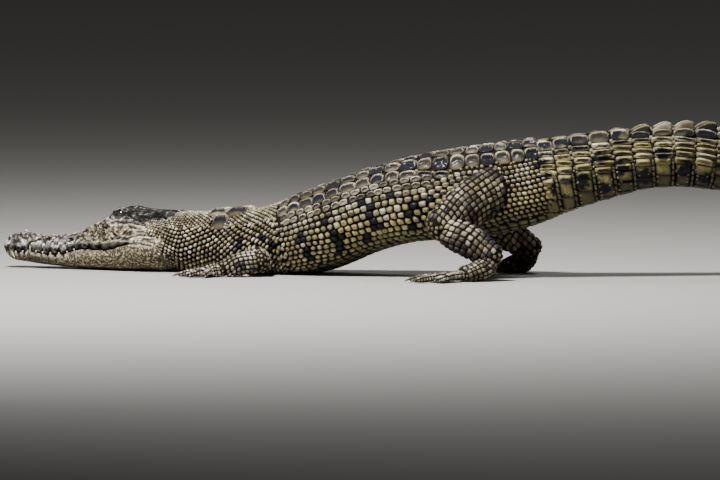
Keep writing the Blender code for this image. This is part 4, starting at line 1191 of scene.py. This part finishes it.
# the tail's whorls: each has short keeled rows above, wide smooth ones below and a narrow strip
# of small plates along its rear edge low down
tailLook = {"edges": (0.165, 0.245, 0.31, 0.37, 0.43, 0.50, 0.58, 0.71, 0.86, 0.99),
            "lean": ((614, -0.10), (800, 0.0), (930, 0.055), (1100, 0.04), (1600, 0.0)),
            "broad": 62.0, "strip": 5.5, "whorls": (2, 14, 60)}
# first whorl with blades, then for some whorls the height of the blades and how far they stand
# from the middle as a share of the half width; the whorl where two blades become one; how dark
# each is
crestLook = {"blades": 7, "at": (1, 4, 6, 7, 10, 16, 30, 40), "joined": 17,
             "tall": (5.0, 6.5, 8.5, 11.5, 16.0, 17.0, 14.0, 8.0),
             "apart": (0.58, 0.56, 0.54, 0.52, 0.44, 0.22, 0.0, 0.0),
             "dark": {1: 0.5, 2: 0.55, 3: 0.2, 4: 0.85, 5: 0.3, 6: 0.15, 7: 0.95, 8: 0.25, 9: 0.2,
                      10: 0.95, 11: 0.3}}


def crestValue(i, key):
    return float(np.interp(i, crestLook["at"], crestLook[key]))


def crestDark(i):
    return crestLook["dark"].get(i, 0.85 if i > 11 and (i * 7) % 5 < 2 else 0.15)


def tailFields(fromIndex, toIndex):
    whorls = whorlPlaces()
    at, slope = np.array(tailLook["lean"], float).T
    fields = []
    for i in range(fromIndex, min(toIndex, len(whorls) - 1)):
        front, rear = whorls[i], whorls[i + 1]
        pitch, middle = rear - front, (front + rear) / 2
        half = float(bodySurface.halfAt(middle))
        skipped, every = 1 if i < crestLook["joined"] else 0, 1 if half > tailLook["broad"] else 2
        edges = np.array(tailLook["edges"])[skipped::every]
        edges[1:-1] += 0.016 * (rng.random(len(edges) - 2) - 0.5)
        row = (edges[1:] + edges[:-1]) / 2
        growth = min(1.0, half / 90)
        lean = float(np.interp(middle, at, slope))
        s, a = both(middle + lean * (row * half - 0.15 * half), row * half)
        s = np.clip(s, 2, bodyLength - pitch / 2 - 1)
        size, upper = np.tile(np.diff(edges) / 2 * half, 2), np.tile(fall(row, 0.54, 0.64), 2)
        strip = np.tile((row > 0.52) & (half > 70), 2) * tailLook["strip"]
        # painted shade: under the keels of the upper rows (lens), and a darker tone on the lower rows
        # as if in shadow, while the upper rows are lighter
        fields.append(bodyField(
            plank, s - strip * 0.5, a, pitch * 0.485 - strip * 0.5, size * 0.965,
            0.5 + 0.4 * upper * growth, keel=3.6 * upper * growth,
            arch=0.35 * (rng.random((len(s), 1)) - 0.3),
            crestAt=-0.3 + 0.3 * (rng.random((len(s), 1)) - 0.5), fine=True,
            tint=0.34 * upper - 0.22, lens=(0.6 + 0.38 * rng.random(len(s))) * upper,
            roundness=6.0, turn=0.03, rugged=1.3 * growth))
        if (strip > 0).any():                        # narrow plates along the rear edge low down
            s, a, size = (np.tile(value[strip > 0], 2) for value in (s, a, size))
            a = a + np.sign(a) * size / 2 * np.repeat([-1, 1], len(a) // 2)
            fields.append(bodyField(
                square, s + pitch / 2 - tailLook["strip"] * 0.5, a, tailLook["strip"] * 0.45,
                size * 0.48, 0.4, roundness=6, tint=-0.3,
                mark=(0 * s + 0.4, 0 * s + 0.25, 0 * s + 0.4)))
        # arched plates at the foot of the blades or in their place, and flat ones between them
        apart = crestValue(i, "apart") * float(np.interp(middle, knots, spine[:, 5])) * 1.06
        top, keel = apart - 9, 0.5 * crestValue(i, "tall") + 0.6
        if i >= crestLook["blades"]:
            top, keel = apart + 0.5, 2.4 * growth
        s, a = both(np.array([middle]), np.array([(top + edges[0] * half) / 2]))
        # painted shade under each arched plate's keel, a little deeper on the blades' dark bands
        fields.append(bodyField(
            scute, s, a, pitch * 0.49, (edges[0] * half - top) / 2, 1.0, keel=keel,
            crestAt=-0.55, arch=0.5, lens=0.86 + 0.14 * crestDark(i), roundness=4, fine=True,
            tint=-0.15, rugged=0.7 * growth))
        inner = min(top, apart)
        if inner > 6:
            s, a = both(np.array([middle]), np.array([inner / 2]))
            fields.append(bodyField(square, s, a, pitch * 0.47, inner * 0.46, 0.8,
                                     roundness=5, tint=-0.2))
    return fields


# the tail's crest: on each whorl a blade that rises to the rear and drops steeply, its section a
# wedge; two rows of them run together into one
def crestBlades():
    whorls = whorlPlaces()
    rings, uvs, values = [], [], {key: [] for key in scaleValues}
    steps, around = 17, 14
    u = np.linspace(0, 1, steps)
    angle = np.arange(around) * math.tau / around
    level = (1 - np.cos(angle)) / 2
    levels = np.tile(level, (steps, 1))
    for i in range(crestLook["blades"], len(whorls) - 1):
        front, rear = whorls[i], min(whorls[i + 1], bodyLength - 4)
        size = spineAt((front + rear) / 2)[4][0]
        tall = crestValue(i, "tall") * min(1.0, size[0] / 26 + 0.15)
        thick = float(np.interp(i, (1, 7, 12), (7.5, 5.2, 4.0))) * min(1.0, size[2] / 22)
        for hand in (1, -1) if i < crestLook["joined"] else (0,):
            s = front + 0.4 + u * (rear - front - 0.8)
            centre, back, left, upward, sizes = spineAt(s)
            offset = hand * sizes[:, 2] * crestValue(i, "apart")
            drop = sizes[:, 0] * (1 - np.sqrt(1 - (offset / sizes[:, 2]) ** 2)) * 0.8
            base = centre + left * offset[:, None] + upward * (sizes[:, 0] - drop - 6.0)[:, None]
            outline = np.sin(np.clip(u / 0.82, 0.01, 1) * math.pi / 2) ** 0.85
            outline = (outline * (1 - 0.12 * np.clip((u - 0.82) / 0.18, 0, 1))
                       * np.sqrt(np.clip((1 - u) / 0.05, 0.03, 1)))
            wide = (np.sin(angle)[None] * (thick * (0.75 + 0.25 * np.sin(u * math.pi)))[:, None]
                    * (1 - 0.80 * level**0.8)[None])
            high = level[None] * (6.0 + tall * outline)[:, None]
            rings.append(ringsRound(base, left, upward, wide + hand * high * 0.12, high)
                         + back[:, None] * (high * 0.04)[..., None])
            # painted shade over the middle of each blade's side, on top of its own dark or pale band,
            # and a painted highlight along its top edge
            lens = bell(levels, 0.50, 0.34, 4) * bell(u, 0.55, 0.36, 4)[:, None]
            shade = np.clip(np.maximum(crestDark(i), 0.6 * lens), 0, 1)
            shade = shade * (1 - 0.9 * ease(levels, 0.84, 0.96))
            for key, value in zip(scaleValues, (shade, 0.15, 0.1, 0.25 + 0.45 * rng.random(), 0.5)):
                values[key].append(withEnds(value + 0 * levels))
            across = hand * 45 + np.where(angle < math.pi, -1, 1) * (1 - level) * 15
            uvs.append(np.stack([withEnds(np.repeat(s[:, None], around, 1)),
                                 withEnds(np.tile(across, (steps, 1)))], axis=1))
    values = {key: np.concatenate(value) for key, value in values.items()}
    made = outward(makeObject("crest_blades", *closeAll(rings), plates, values))
    corners = np.empty(len(made.data.loops), np.int32)
    made.data.loops.foreach_get("vertex_index", corners)
    bakeMap(made, fitted(np.concatenate(uvs))[corners])
    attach(made, "root")
    print("crest_blades", len(made.data.polygons), "faces")


# markings of a limb: small dark spots by noise, thinning towards the digits
def limbMark(points, kind):
    low, high = (0.62, 0.78) if kind == "hand" else (0.38, 0.58)
    spots = ease(noise(points, 14.0, 21) + 0.5 * noise(points, 6.0, 22), low, high) * 0.9
    if kind == "foot":
        spots = np.maximum(spots, 0.75 * ease(noise(points, 30.0, 24), 0.0, 0.45))
    return spots, np.clip(0.5 * noise(points, 34.0, 23), 0, 1), 0.10 + 0 * spots


def limbField(tube, pitch, template, height):
    surface, hand = tube["surface"], tube["kind"] == "hand"
    full = surface.half > (0.80 if hand else 0.66) * np.median(surface.half)
    s, a = lattice(pitch * 0.4, surface.along[full].max(), lambda v: pitch + 0 * v, lambda v: 0 * v,
                   2, 92, int(surface.half.max() / pitch * 1.1), ratio=0.95, stagger=0.12)
    s, a = both(s, a)
    keep = np.abs(a) < surface.halfAt(s) - 0.3 * pitch
    s, a = s[keep], a[keep]
    points, _ = surface.at(s, a)
    keep = outsideOthers(tube, points) & (points[:, 2] > 1.5)
    # places where the surface would draw a scale out are left to the loose beads
    for stepS, stepA in ((0.4 * pitch, 0.0), (0.0, 0.4 * pitch)):
        drawn = surface.at(s + stepS, a + stepA)[0] - surface.at(s - stepS, a - stepA)[0]
        keep &= np.linalg.norm(drawn, axis=1) < 1.2 * pitch
    s, a, points = s[keep], a[keep], points[keep]
    return scaleField(surface, template, s, a, pitch * 0.46, pitch * 0.44, height, roundness=2.6,
                      pit=0.4 * (rng.random(len(s)) < 0.3), mark=limbMark(points, tube["kind"]),
                      tint=-0.02 if hand else -0.18)


# a digit's upper side carries a row of broad plates with smaller ones beside it: shift along it,
# share of the way down, half length and half width
plateRows = ((0, 0.0, 2.5, 0.30), (1.5, 0.50, 2.3, 0.15), (1.5, -0.50, 2.3, 0.15))


def digitFields(kind, place):
    fields = []
    for stations in digitStations(kind):
        surface = Surface(*digitRings(place, stations), 17)
        middle = np.arange(9, surface.along[-1] - 3, 5.4)
        for later, down, long, wide in plateRows:
            s = middle + later
            a = down * surface.halfAt(middle) if down else 0.01 + 0 * s
            mark = limbMark(surface.at(s, a)[0], kind)
            fields.append(scaleField(surface, square, s, a, long, surface.halfAt(s) * wide, 0.9,
                                     roundness=3, mark=mark, tint=0.1))
    return fields


def treeOf(points):
    tree = kdtree.KDTree(len(points))
    for k, point in enumerate(points):
        tree.insert(point, k)
    tree.balance()
    return tree


# the skin's vertex places in millimetres and their normals
def skinPoints():
    flat, facing = (np.empty(len(hide.data.vertices) * 3, np.float32) for _ in range(2))
    hide.data.vertices.foreach_get("co", flat)
    hide.data.vertex_normals.foreach_get("vector", facing)
    return (flat.reshape(-1, 3) - shift) * 1000, facing.reshape(-1, 3)


# beads over every bare stretch of the skin: points further from all scales than their sizes,
# taken one by one while they keep clear of each other
fillerLook = {"bare": 4.0, "smallest": 2.0, "largest": 4.0, "nearHead": ((-12, 26), (1.9, 2.9)),
              "bigPlate": 7.0, "gap": 1.1, "bigGap": 1.24}


def fillerField(fromAlong):
    radii = np.concatenate([size for _, size in placed])
    tree = treeOf(np.concatenate([place for place, _ in placed]))
    points, facing = skinPoints()
    along = np.empty(len(points), np.float32)
    hide.data.attributes["along"].data.foreach_get("value", along)
    # the body's own grid adds places between the skin's rings
    rings = bodySurface.along
    rings = rings[(rings < 44) | (np.arange(len(rings)) % 2 == 0)]
    s, q = np.meshgrid(rings, np.linspace(-0.97, 0.97, 128), indexing="ij")
    s, a = s.ravel(), q.ravel() * bodySurface.halfAt(s.ravel())
    more, moreFacing = bodySurface.at(s, a)
    bare = np.array([tree.find(point)[2] for point in more]) > fillerLook["bare"]
    bare[bare] = freeOfLimbs(s[bare], a[bare])
    more = more - moreFacing * (body["inset"] * ease(s, 0, 30))[:, None]
    points = np.concatenate([points, more[bare]])
    facing = np.concatenate([facing, moreFacing[bare]])
    along = np.concatenate([along, s[bare]])
    front = np.interp(points[:, 2], (8, 30, 56, 64), (-12, -8, -2, 12))
    candidates = np.nonzero((along > np.minimum(fromAlong, front)) & (points[:, 2] > 2.5))[0]
    # sorted by place: the union's corners don't always come in the same order
    candidates = candidates[np.lexsort(np.round(points[candidates], 2).T)]
    rng.shuffle(candidates)
    chosen, sizes = [], []
    for index in candidates:
        _, nearest, gap = tree.find(points[index])
        reach = radii[nearest]
        size = float(np.clip(reach * 0.8, fillerLook["smallest"], fillerLook["largest"]))
        if along[index] < fillerLook["nearHead"][0][1]:
            size = float(np.interp(along[index], *fillerLook["nearHead"]))
        apart = fillerLook["gap" if reach < fillerLook["bigPlate"] else "bigGap"]
        if gap < reach * apart + size * 1.05:
            continue
        apart = np.linalg.norm(points[chosen] - points[index], axis=1) / (np.array(sizes) + size)
        if chosen and apart.min() < 0.98:
            continue
        chosen.append(index)
        sizes.append(size)
    return points[chosen], facing[chosen], np.array(sizes)


# place of points on the unrolled body and limbs: that of the nearest surface sample, moved on by
# what is left along its two directions; each limb lies in a strip of its own
def unrolled(points):
    tables = []
    for k, surface in enumerate([coarseBody] + [tube["surface"] for tube in tubes]):
        count = surface.points.shape[1]
        place = np.stack([np.repeat(surface.along[:, None], count, 1),
                          surface.half[:, None] * np.linspace(-1, 1, count) + 380 * k], axis=-1)
        one, two = (unit(np.gradient(surface.points, axis=axis), 1e-9) for axis in (0, 1))
        grids = surface.points, place, one, two
        tables.append([grid.reshape(-1, grid.shape[-1]) for grid in grids])
    flat, base, one, two = (np.concatenate(table) for table in zip(*tables))
    tree = treeOf(flat)
    near = np.array([tree.find(point)[1] for point in points])
    rest = points - flat[near]
    return base[near] + np.stack([(rest * step[near]).sum(axis=1) for step in (one, two)], axis=1)


# filler beads stand on the skin in their own tangent plane
def fillerBeads():
    points, normals, sizes = fillerField(12.0)
    flatUp = np.where(np.abs(normals[:, 2:]) > 0.9, np.array([1.0, 0, 0]), up)
    across = unit(np.cross(normals, flatUp))
    u, v, rho, skirt = (bead[key][None] for key in ("u", "v", "rho", "skirt"))
    x, y = u * sizes[:, None], v * sizes[:, None]
    rise = np.where(skirt, -1.4, sizes[:, None] * 0.5 * (1.3 - rho**2.4) - 0.5 * rho**2)
    cloud = ringsRound(points, across, np.cross(across, normals), x, y)
    cloud = cloud + rise[..., None] * normals[:, None]
    count = len(points)
    flat = lambda value: np.broadcast_to(value, x.shape).ravel()
    uv = unrolled(points)[:, None] + np.stack([x * 0.8, y * 0.8], axis=-1)
    return {"points": aboveFloor(cloud).reshape(-1, 3), "template": bead, "count": count,
            "dark": flat(limbMark(points, "hand")[0][:, None]), "warm": flat(0.2), "olive": flat(0.3),
            "tone": flat(0.12 + 0.5 * rng.random((count, 1))),
            "rim": flat(np.where(skirt, 1.2, rho)), "uv": uv.reshape(-1, 2)}


# a material built from nodes; a factor is a socket or the name of an attribute
class Look:
    def __init__(self, name):
        self.made = bpy.data.materials.new(name)
        self.made.use_nodes = True
        self.nodes, self.links = self.made.node_tree.nodes, self.made.node_tree.links

    def add(self, kind, **inputs):
        made = self.nodes.new("ShaderNode" + kind)
        for key, value in inputs.items():
            self.put(made.inputs[key], value)
        return made

    def put(self, socket, value):
        if isinstance(value, bpy.types.NodeSocket):
            self.links.new(value, socket)
        else:
            socket.default_value = value

    def factor(self, source):
        if isinstance(source, str):
            made = self.add("Attribute")
            made.attribute_name = source
            return made.outputs["Fac"]
        return source

    # colours laid one over another, each as strongly as its factor says
    def layered(self, base, *layers):
        for factor, colour in layers:
            made = self.add("Mix")
            made.data_type = "RGBA"
            ports = {port.name: port for port in made.inputs if port.enabled}
            for port, value in (("Factor", self.factor(factor)), ("A", base), ("B", colour)):
                self.put(ports[port], (*value, 1) if isinstance(value, tuple) else value)
            base = next(port for port in made.outputs if port.enabled)
        return base

    def ramp(self, source, *stops):
        made = self.add("ValToRGB")
        bar = made.color_ramp
        while len(bar.elements) < len(stops):
            bar.elements.new(0.5)
        for element, (place, colour) in zip(bar.elements, stops):
            element.position = place
            element.color = (*((colour,) * 3 if isinstance(colour, float) else colour), 1)
        self.links.new(self.factor(source), made.inputs["Fac"])
        return made.outputs["Color"]

    def place(self):
        return self.add("TexCoord").outputs["Object"]

    def grain(self, scale, detail, roughness=0.6):
        return self.add("TexNoise", Vector=self.place(), Scale=scale, Detail=detail,
                        Roughness=roughness).outputs["Fac"]

    # from 0 to 1 between two values of an attribute
    def between(self, source, low, high):
        return self.add("MapRange", **{"Value": self.factor(source), "From Min": low,
                                       "From Max": high}).outputs["Result"]

    # shader inputs by name, and bumps chained one on another: each a height, its strength and
    # its depth in metres
    def finish(self, inputs, *layers):
        shader = self.nodes["Principled BSDF"]
        normal = None
        for height, strength, distance in layers:
            made = self.add("Bump", Height=height, Strength=strength, Distance=distance)
            if normal:
                self.put(made.inputs["Normal"], normal)
            normal = made.outputs["Normal"]
        if normal:
            self.put(shader.inputs["Normal"], normal)
        for key, value in inputs.items():
            self.put(shader.inputs[key], value)
        return self.made


palette = {
    "shade": (0.045, 0.038, 0.026), "cream": (0.305, 0.260, 0.178), "bone": (0.93, 0.86, 0.70),
    "yellow": (0.56, 0.47, 0.16), "olive": (0.085, 0.088, 0.038), "soilAndShade": (0.075, 0.055, 0.032),
    # dark: the markings, also the painted shade under keels; groove: near black of the gaps and of each
    # scale's rim, partly the skin's own colour and partly painted shade
    "dark": (0.0085, 0.008, 0.0115), "groove": (0.006, 0.004, 0.0025),
    "crown": ((0.009, 0.008, 0.0075), (0.158, 0.146, 0.139), (0.95, 0.92, 0.89)),
    "cheek": ((0.007, 0.0055, 0.0035), (0.235, 0.190, 0.114), (1.0, 0.88, 0.61)),
    "throat": ((0.024, 0.019, 0.011), (0.088, 0.074, 0.044), (0.46, 0.40, 0.265)),
    "lipBrown": (0.035, 0.028, 0.018), "ground": (0.014, 0.010, 0.006),
    "markAndShade": (0.003, 0.0025, 0.002), "irisDark": (0.012, 0.0095, 0.0075),
    "irisPale": (0.042, 0.034, 0.028),
    "irisRim": (0.012, 0.010, 0.008), "pupil": (0.003, 0.003, 0.003),
    "floor": (0.34, 0.33, 0.31, 1), "sky": (1.0, 0.98, 0.95, 1),
    # roughness of the dark markings and of the ground between the scales
    "matt": (0.95, 0.95, 0.95), "groundMatt": (0.92, 0.92, 0.92),
}


# scales: shade to bone by each scale's own tone, with a painted highlight on keel crests, yellow
# or olive by place, soil in patches and flecks, painted shade darkening each scale towards its
# rim, near black in the markings and in the painted shade under the keels; the markings and
# hollows shine less than the pale plates
def scaleMaterial():
    look = Look("scale_plates")
    patches, fine = look.grain(34.0, 3.0), look.grain(520.0, 3.0, 0.7)
    base = look.layered(
        look.ramp("tone", (0.0, palette["shade"]), (0.5, palette["cream"]), (0.95, palette["bone"])),
        ("warm", palette["yellow"]), ("olive", palette["olive"]),
        (look.ramp(patches, (0.40, 0.0), (0.64, 0.62)), palette["soilAndShade"]),
        (look.ramp(fine, (0.36, 0.75), (0.50, 0.0)), palette["soilAndShade"]),
        # painted shade: each scale darkens from its middle out to its rim, into the near black of the
        # gaps
        (look.ramp("rim", (0.42, 0.0), (0.72, 0.32), (0.90, 0.82), (1.0, 0.98)), palette["groove"]),
        ("dark", palette["dark"]))
    rough = look.layered(look.ramp(patches, (0.3, 0.52), (0.7, 0.78)), ("dark", palette["matt"]))
    return look.finish({"Base Color": base, "Roughness": rough, "Specular IOR Level": 0.16,
                        "Coat Weight": 0.10, "Coat Roughness": 0.2},
                       (look.grain(240.0, 2.0), 0.5, 0.0016), (fine, 0.7, 0.0008))


# skin: on the face grey above, cream on the cheek and throat, brown on the lip, all with cracks
# round small plates darkened as painted shade; behind the head the near-black ground between the
# scales, partly its own dark colour and partly painted shade of the deep gaps
def skinMaterial():
    look = Look("wet_hide")
    mottle, fine = look.grain(150.0, 5.0, 0.7), look.grain(420.0, 3.0, 0.7)
    pebble = look.grain(270.0, 4.0, 0.65)
    crown, cheek, throat = (
        look.ramp(source, *zip((0.42, 0.50, 0.59), palette[name]))
        for name, source in (("crown", mottle), ("cheek", mottle), ("throat", pebble)))
    plate = look.add("TexVoronoi", Vector=look.place(), Scale=190.0)
    plate.feature = "DISTANCE_TO_EDGE"
    plate = plate.outputs["Distance"]
    behind = look.between("along", -6.0, 8.0)
    # ground between the scales: near black, partly painted shade of the deep gaps
    ground = look.ramp(mottle, (0.35, palette["groove"]), (0.7, palette["ground"]))
    base = look.layered(
        crown, ("cream", cheek), ("brown", palette["lipBrown"]),
        (look.between("lip", 2.0, -3.0), throat),
        # painted shade in the cracks between the small plates
        (look.ramp(plate, (0.0, 0.8), (0.14, 0.0)), palette["soilAndShade"]),
        (look.ramp(fine, (0.30, 0.7), (0.45, 0.0)), palette["soilAndShade"]),
        # pale: mostly painted highlights; dark: painted shade on the face, markings and the tail's
        # painted shade behind it
        ("pale", palette["bone"]), (behind, ground), ("dark", palette["markAndShade"]))
    rough = look.layered(look.ramp(fine, (0.3, 0.50), (0.7, 0.76)),
                         (behind, palette["groundMatt"]), ("dark", palette["matt"]))
    return look.finish({"Base Color": base, "Roughness": rough, "Specular IOR Level": 0.10},
                       (plate, 0.7, 0.0014), (mottle, 0.6, 0.0022), (fine, 0.5, 0.0008))


# eye: a mottled iris, darker at its rim, with a slit pupil under a clear wet coat
def eyeMaterial():
    look = Look("wet_eye")
    base = look.layered(
        look.ramp(look.grain(900.0, 4.0), (0.35, palette["irisDark"]), (0.65, palette["irisPale"])),
        (look.ramp("polar", (0.0, 0.0), (0.80, 0.0), (1.0, 1.0)), palette["irisRim"]),
        (look.ramp("pupil", (0.8, 0.95), (1.0, 0.0)), palette["pupil"]))
    return look.finish({"Base Color": base, "Roughness": 0.10, "Coat Weight": 1.0,
                        "Coat Roughness": 0.02})


def hornMaterial(name, low, high, roughness, scale):
    look = Look(name)
    height = look.grain(scale, 4.0)
    return look.finish({"Base Color": look.ramp(height, (0.3, low), (0.7, high)),
                        "Roughness": roughness}, (height, 0.3, 0.0003))


plates = scaleMaterial()
hide.data.materials.append(skinMaterial())


# face values end where a limb joins the skin: over the limb they are those of bare ground
def clearLimbs():
    points, _ = skinPoints()
    onLimb = np.zeros(len(points), bool)
    for tube in tubes:
        middle = tube["surface"].points.mean(axis=(0, 1))
        index = np.nonzero(np.linalg.norm(points - middle, axis=1) < 125)[0]
        onLimb[index[insideOf(tube["surface"], points[index], 3.0)]] = True
    for _, kind, place, _ in plans:
        middle = place(np.array(digitLines(kind)[1][0]))
        onLimb |= (np.linalg.norm(points - middle, axis=1) < 95) & (points[:, 2] < 26)
    for name, level in bareGround.items():
        data = np.empty(len(points), np.float32)
        hide.data.attributes[name].data.foreach_get("value", data)
        data[onLimb] = level
        hide.data.attributes[name].data.foreach_set("value", data)


clearLimbs()
print("scales")
makeScales("neck_scales", neckFields())
makeScales("neck_shields", shieldFields())
makeScales("back_scutes", backFields())
makeScales("flank_scales", flankFields())
makeScales("belly_shields", bellyFields())
makeScales("tail_whorls_front", tailFields(*tailLook["whorls"][:2]))
makeScales("tail_whorls_rear", tailFields(*tailLook["whorls"][1:]))
crestBlades()
limbLook = {"upperArm": (7.4, bead, 1.8), "forearm": (7.4, bead, 1.8), "wrist": (6.0, bead, 1.3),
            "thigh": (10.2, square, 2.0), "shank": (10.4, square, 2.2), "heel": (7.6, square, 1.5)}
for side, kind, place, _ in plans:
    fields = [limbField(tube, *limbLook[tube["name"]]) for tube in tubes
              if (tube["side"], tube["kind"]) == (side, kind)]
    fields = [field for field in fields + digitFields(kind, place) if field["count"]]
    offset = 0.0
    for field in fields:
        field["uv"] = field["uv"] - field["uv"].min(axis=0) + (0, offset)
        offset = field["uv"][:, 1].max() + 3
    makeScales({"hand": "arm", "foot": "leg"}[kind] + "_scales_" + side, fields)
makeScales("joint_beads", [fillerBeads()])


# eyeball: a sphere round the direction of gaze, swelling into the cornea over the iris
def eyeballs():
    finish = eyeMaterial()
    polar = np.linspace(0.02, math.pi - 0.02, 44)
    turn = np.arange(64) * math.tau / 64
    x, y = (np.outer(np.sin(polar), part) for part in (np.cos(turn), np.sin(turn)))
    values = {"polar": withEnds(np.repeat(polar[:, None], len(turn), 1), (0, math.pi)),
              "pupil": withEnds(np.hypot(x / 0.075, y / 0.42), (0, 9))}
    radius = eye["radius"] + 0.7 * bell(polar, 0, 0.66, 4)
    for side, hand in (("left", 1), ("right", -1)):
        gaze = unit(hand * headLeft * 0.92 - headBack * 0.26 + up * 0.16)
        across = unit(np.cross(gaze, up))
        upward = np.cross(across, gaze)
        centre = headPoint(eye["ball"][0], hand * eye["ball"][1], eye["ball"][2])
        rings = centre + radius[:, None, None] * (x[..., None] * across + y[..., None] * upward
                                                  + np.cos(polar)[:, None, None] * gaze)
        ball = outward(makeObject("eyeball_" + side, *closeRings(rings), finish, values))
        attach(ball, "root")
        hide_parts("eye_" + side)


eyeballs()


# a curved cone: sections shrink from the root to the tip along a line that sags or arches
def hornRings(root, tip, radius, sag, flatten=1.0):
    t = np.linspace(0, 1, 14)
    centre = root + t[:, None] * (tip - root) + (np.sin(t * math.pi) * sag)[:, None] * up
    back = unit(np.gradient(centre, axis=0))
    across = unit(np.cross(back, np.where(np.abs(back[:, 2:]) > 0.9, headBack, up)))
    size = (radius * (1 - t) ** 0.7 + 0.12)[:, None]
    turn = (np.arange(16) * math.tau / 16)[None]
    return ringsRound(centre, across, np.cross(across, back), np.cos(turn) * size * flatten,
                      np.sin(turn) * size)


clawFinish = hornMaterial("claw_horn", (0.02, 0.016, 0.012), (0.12, 0.10, 0.075), 0.32, 300.0)
toothFinish = hornMaterial("tooth_ivory", (0.42, 0.36, 0.25), (0.78, 0.74, 0.62), 0.25, 260.0)
for side, kind, place, _ in plans:
    for i, (_, tip, ahead) in enumerate(digitLines(kind)[:3]):
        point = tip + ahead * limbs["clawLength"]
        point[2] = 1.2
        root = place(tip - ahead * 2.0 + np.array([0, 0, 1.2]))
        horn = hornRings(root, place(point), limbs["clawRadius"], 2.2, 0.8)
        name = f"claw_{kind}_{side}_{i + 1}"
        claw = outward(makeObject(name, *closeRings(aboveFloor(horn)), clawFinish))
        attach(claw, "root")
        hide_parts(f"{kind}_{side}_claw_{i + 1}")


# teeth: a tip under each gap between the upper lumps, one long tooth in front, one in the notch
def teethPiece():
    rows = []
    mouth = np.array(head["mouth"], float)
    lumps = np.array(head["upperLumps"][1:-4], float)
    for hand in (1, -1):
        # root and tip (distance from the snout's tip, offset, height), then thickness
        teeth = []
        for t in (lumps[1:] + lumps[:-1]) / 2:
            level = float(np.interp(t, mouth[:, 0], mouth[:, 1]))
            outline = headOutlines([t])[0]
            side = np.abs(outline[np.argsort(np.abs(outline[:, 1] - level))[:4], 0]).mean()
            teeth.append(((t, side - 2.4, level + 1.5), (t + 0.6, side - 2.0, level - 2.6), 1.5))
        teeth += [((20.5, 26.0, 30.0), (27.0, 25.0, 15.5), 1.8),
                  ((51.5, 18.0, 27.0), (50.8, 17.6, 38.0), 2.0)]
        for *ends, radius in teeth:
            root, tip = (headPoint(t, hand * side, height) for t, side, height in ends)
            rows.append(hornRings(root, tip, radius, 0.0))
    made = outward(makeObject("teeth", *closeAll(rows), toothFinish))
    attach(made, "root")


teethPiece()
fleshNodes = ["head", "lower_jaw", "neck", "trunk", "tail_1", "tail_2", "tail_3", "tail_4"]
fleshNodes += [name + "_" + side for side in ("left", "right")
               for name in ("upper_arm", "forearm", "hand", "thigh", "shank", "foot")]
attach(hide, "root")
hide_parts(*fleshNodes)

bpy.ops.mesh.primitive_plane_add(size=60)
floor = bpy.context.object
floor.name = "floor"
dull = Look("pale_floor").finish({"Base Color": palette["floor"], "Roughness": 0.85})
floor.data.materials.append(dull)

view = {"distance": 35.0, "width": 1.188, "elevation": 3.0, "aim": (0.0, 0.16, 0.05276),
        "filmWidth": 36.0, "farthest": 200.0}
aim = Vector(view["aim"]) + Vector((shift[0], shift[1], 0))
rise = math.radians(view["elevation"])
lens = bpy.data.cameras.new("camera")
camera = bpy.data.objects.new("camera", lens)
bpy.context.scene.collection.objects.link(camera)
camera.location = aim + Vector((0, -math.cos(rise), math.sin(rise))) * view["distance"]
camera.rotation_euler = (math.radians(90) - rise, 0, 0)
lens.lens = view["filmWidth"] * view["distance"] / view["width"]
lens.clip_end = view["farthest"]
bpy.context.scene.camera = camera

# place, size and power; all face the middle of the view
lights = {"key": ((-0.95, -1.1, 2.25), 0.40, 195), "rim": ((0.4, 1.2, 2.3), 0.9, 22),
          "fill": ((-1.6, -2.8, 1.2), 1.6, 5)}
skyStrength = 0.06
for name, (place, size, power) in lights.items():
    lamp = bpy.data.lights.new(name, "AREA")
    lamp.size, lamp.energy = size, power
    holder = bpy.data.objects.new(name, lamp)
    bpy.context.scene.collection.objects.link(holder)
    holder.location = place
    holder.rotation_euler = (aim - Vector(place)).to_track_quat("-Z", "Y").to_euler()
world = bpy.data.worlds.new("studio")
world.use_nodes = True
sky = world.node_tree.nodes["Background"].inputs
sky["Color"].default_value, sky["Strength"].default_value = palette["sky"], skyStrength
bpy.context.scene.world = world
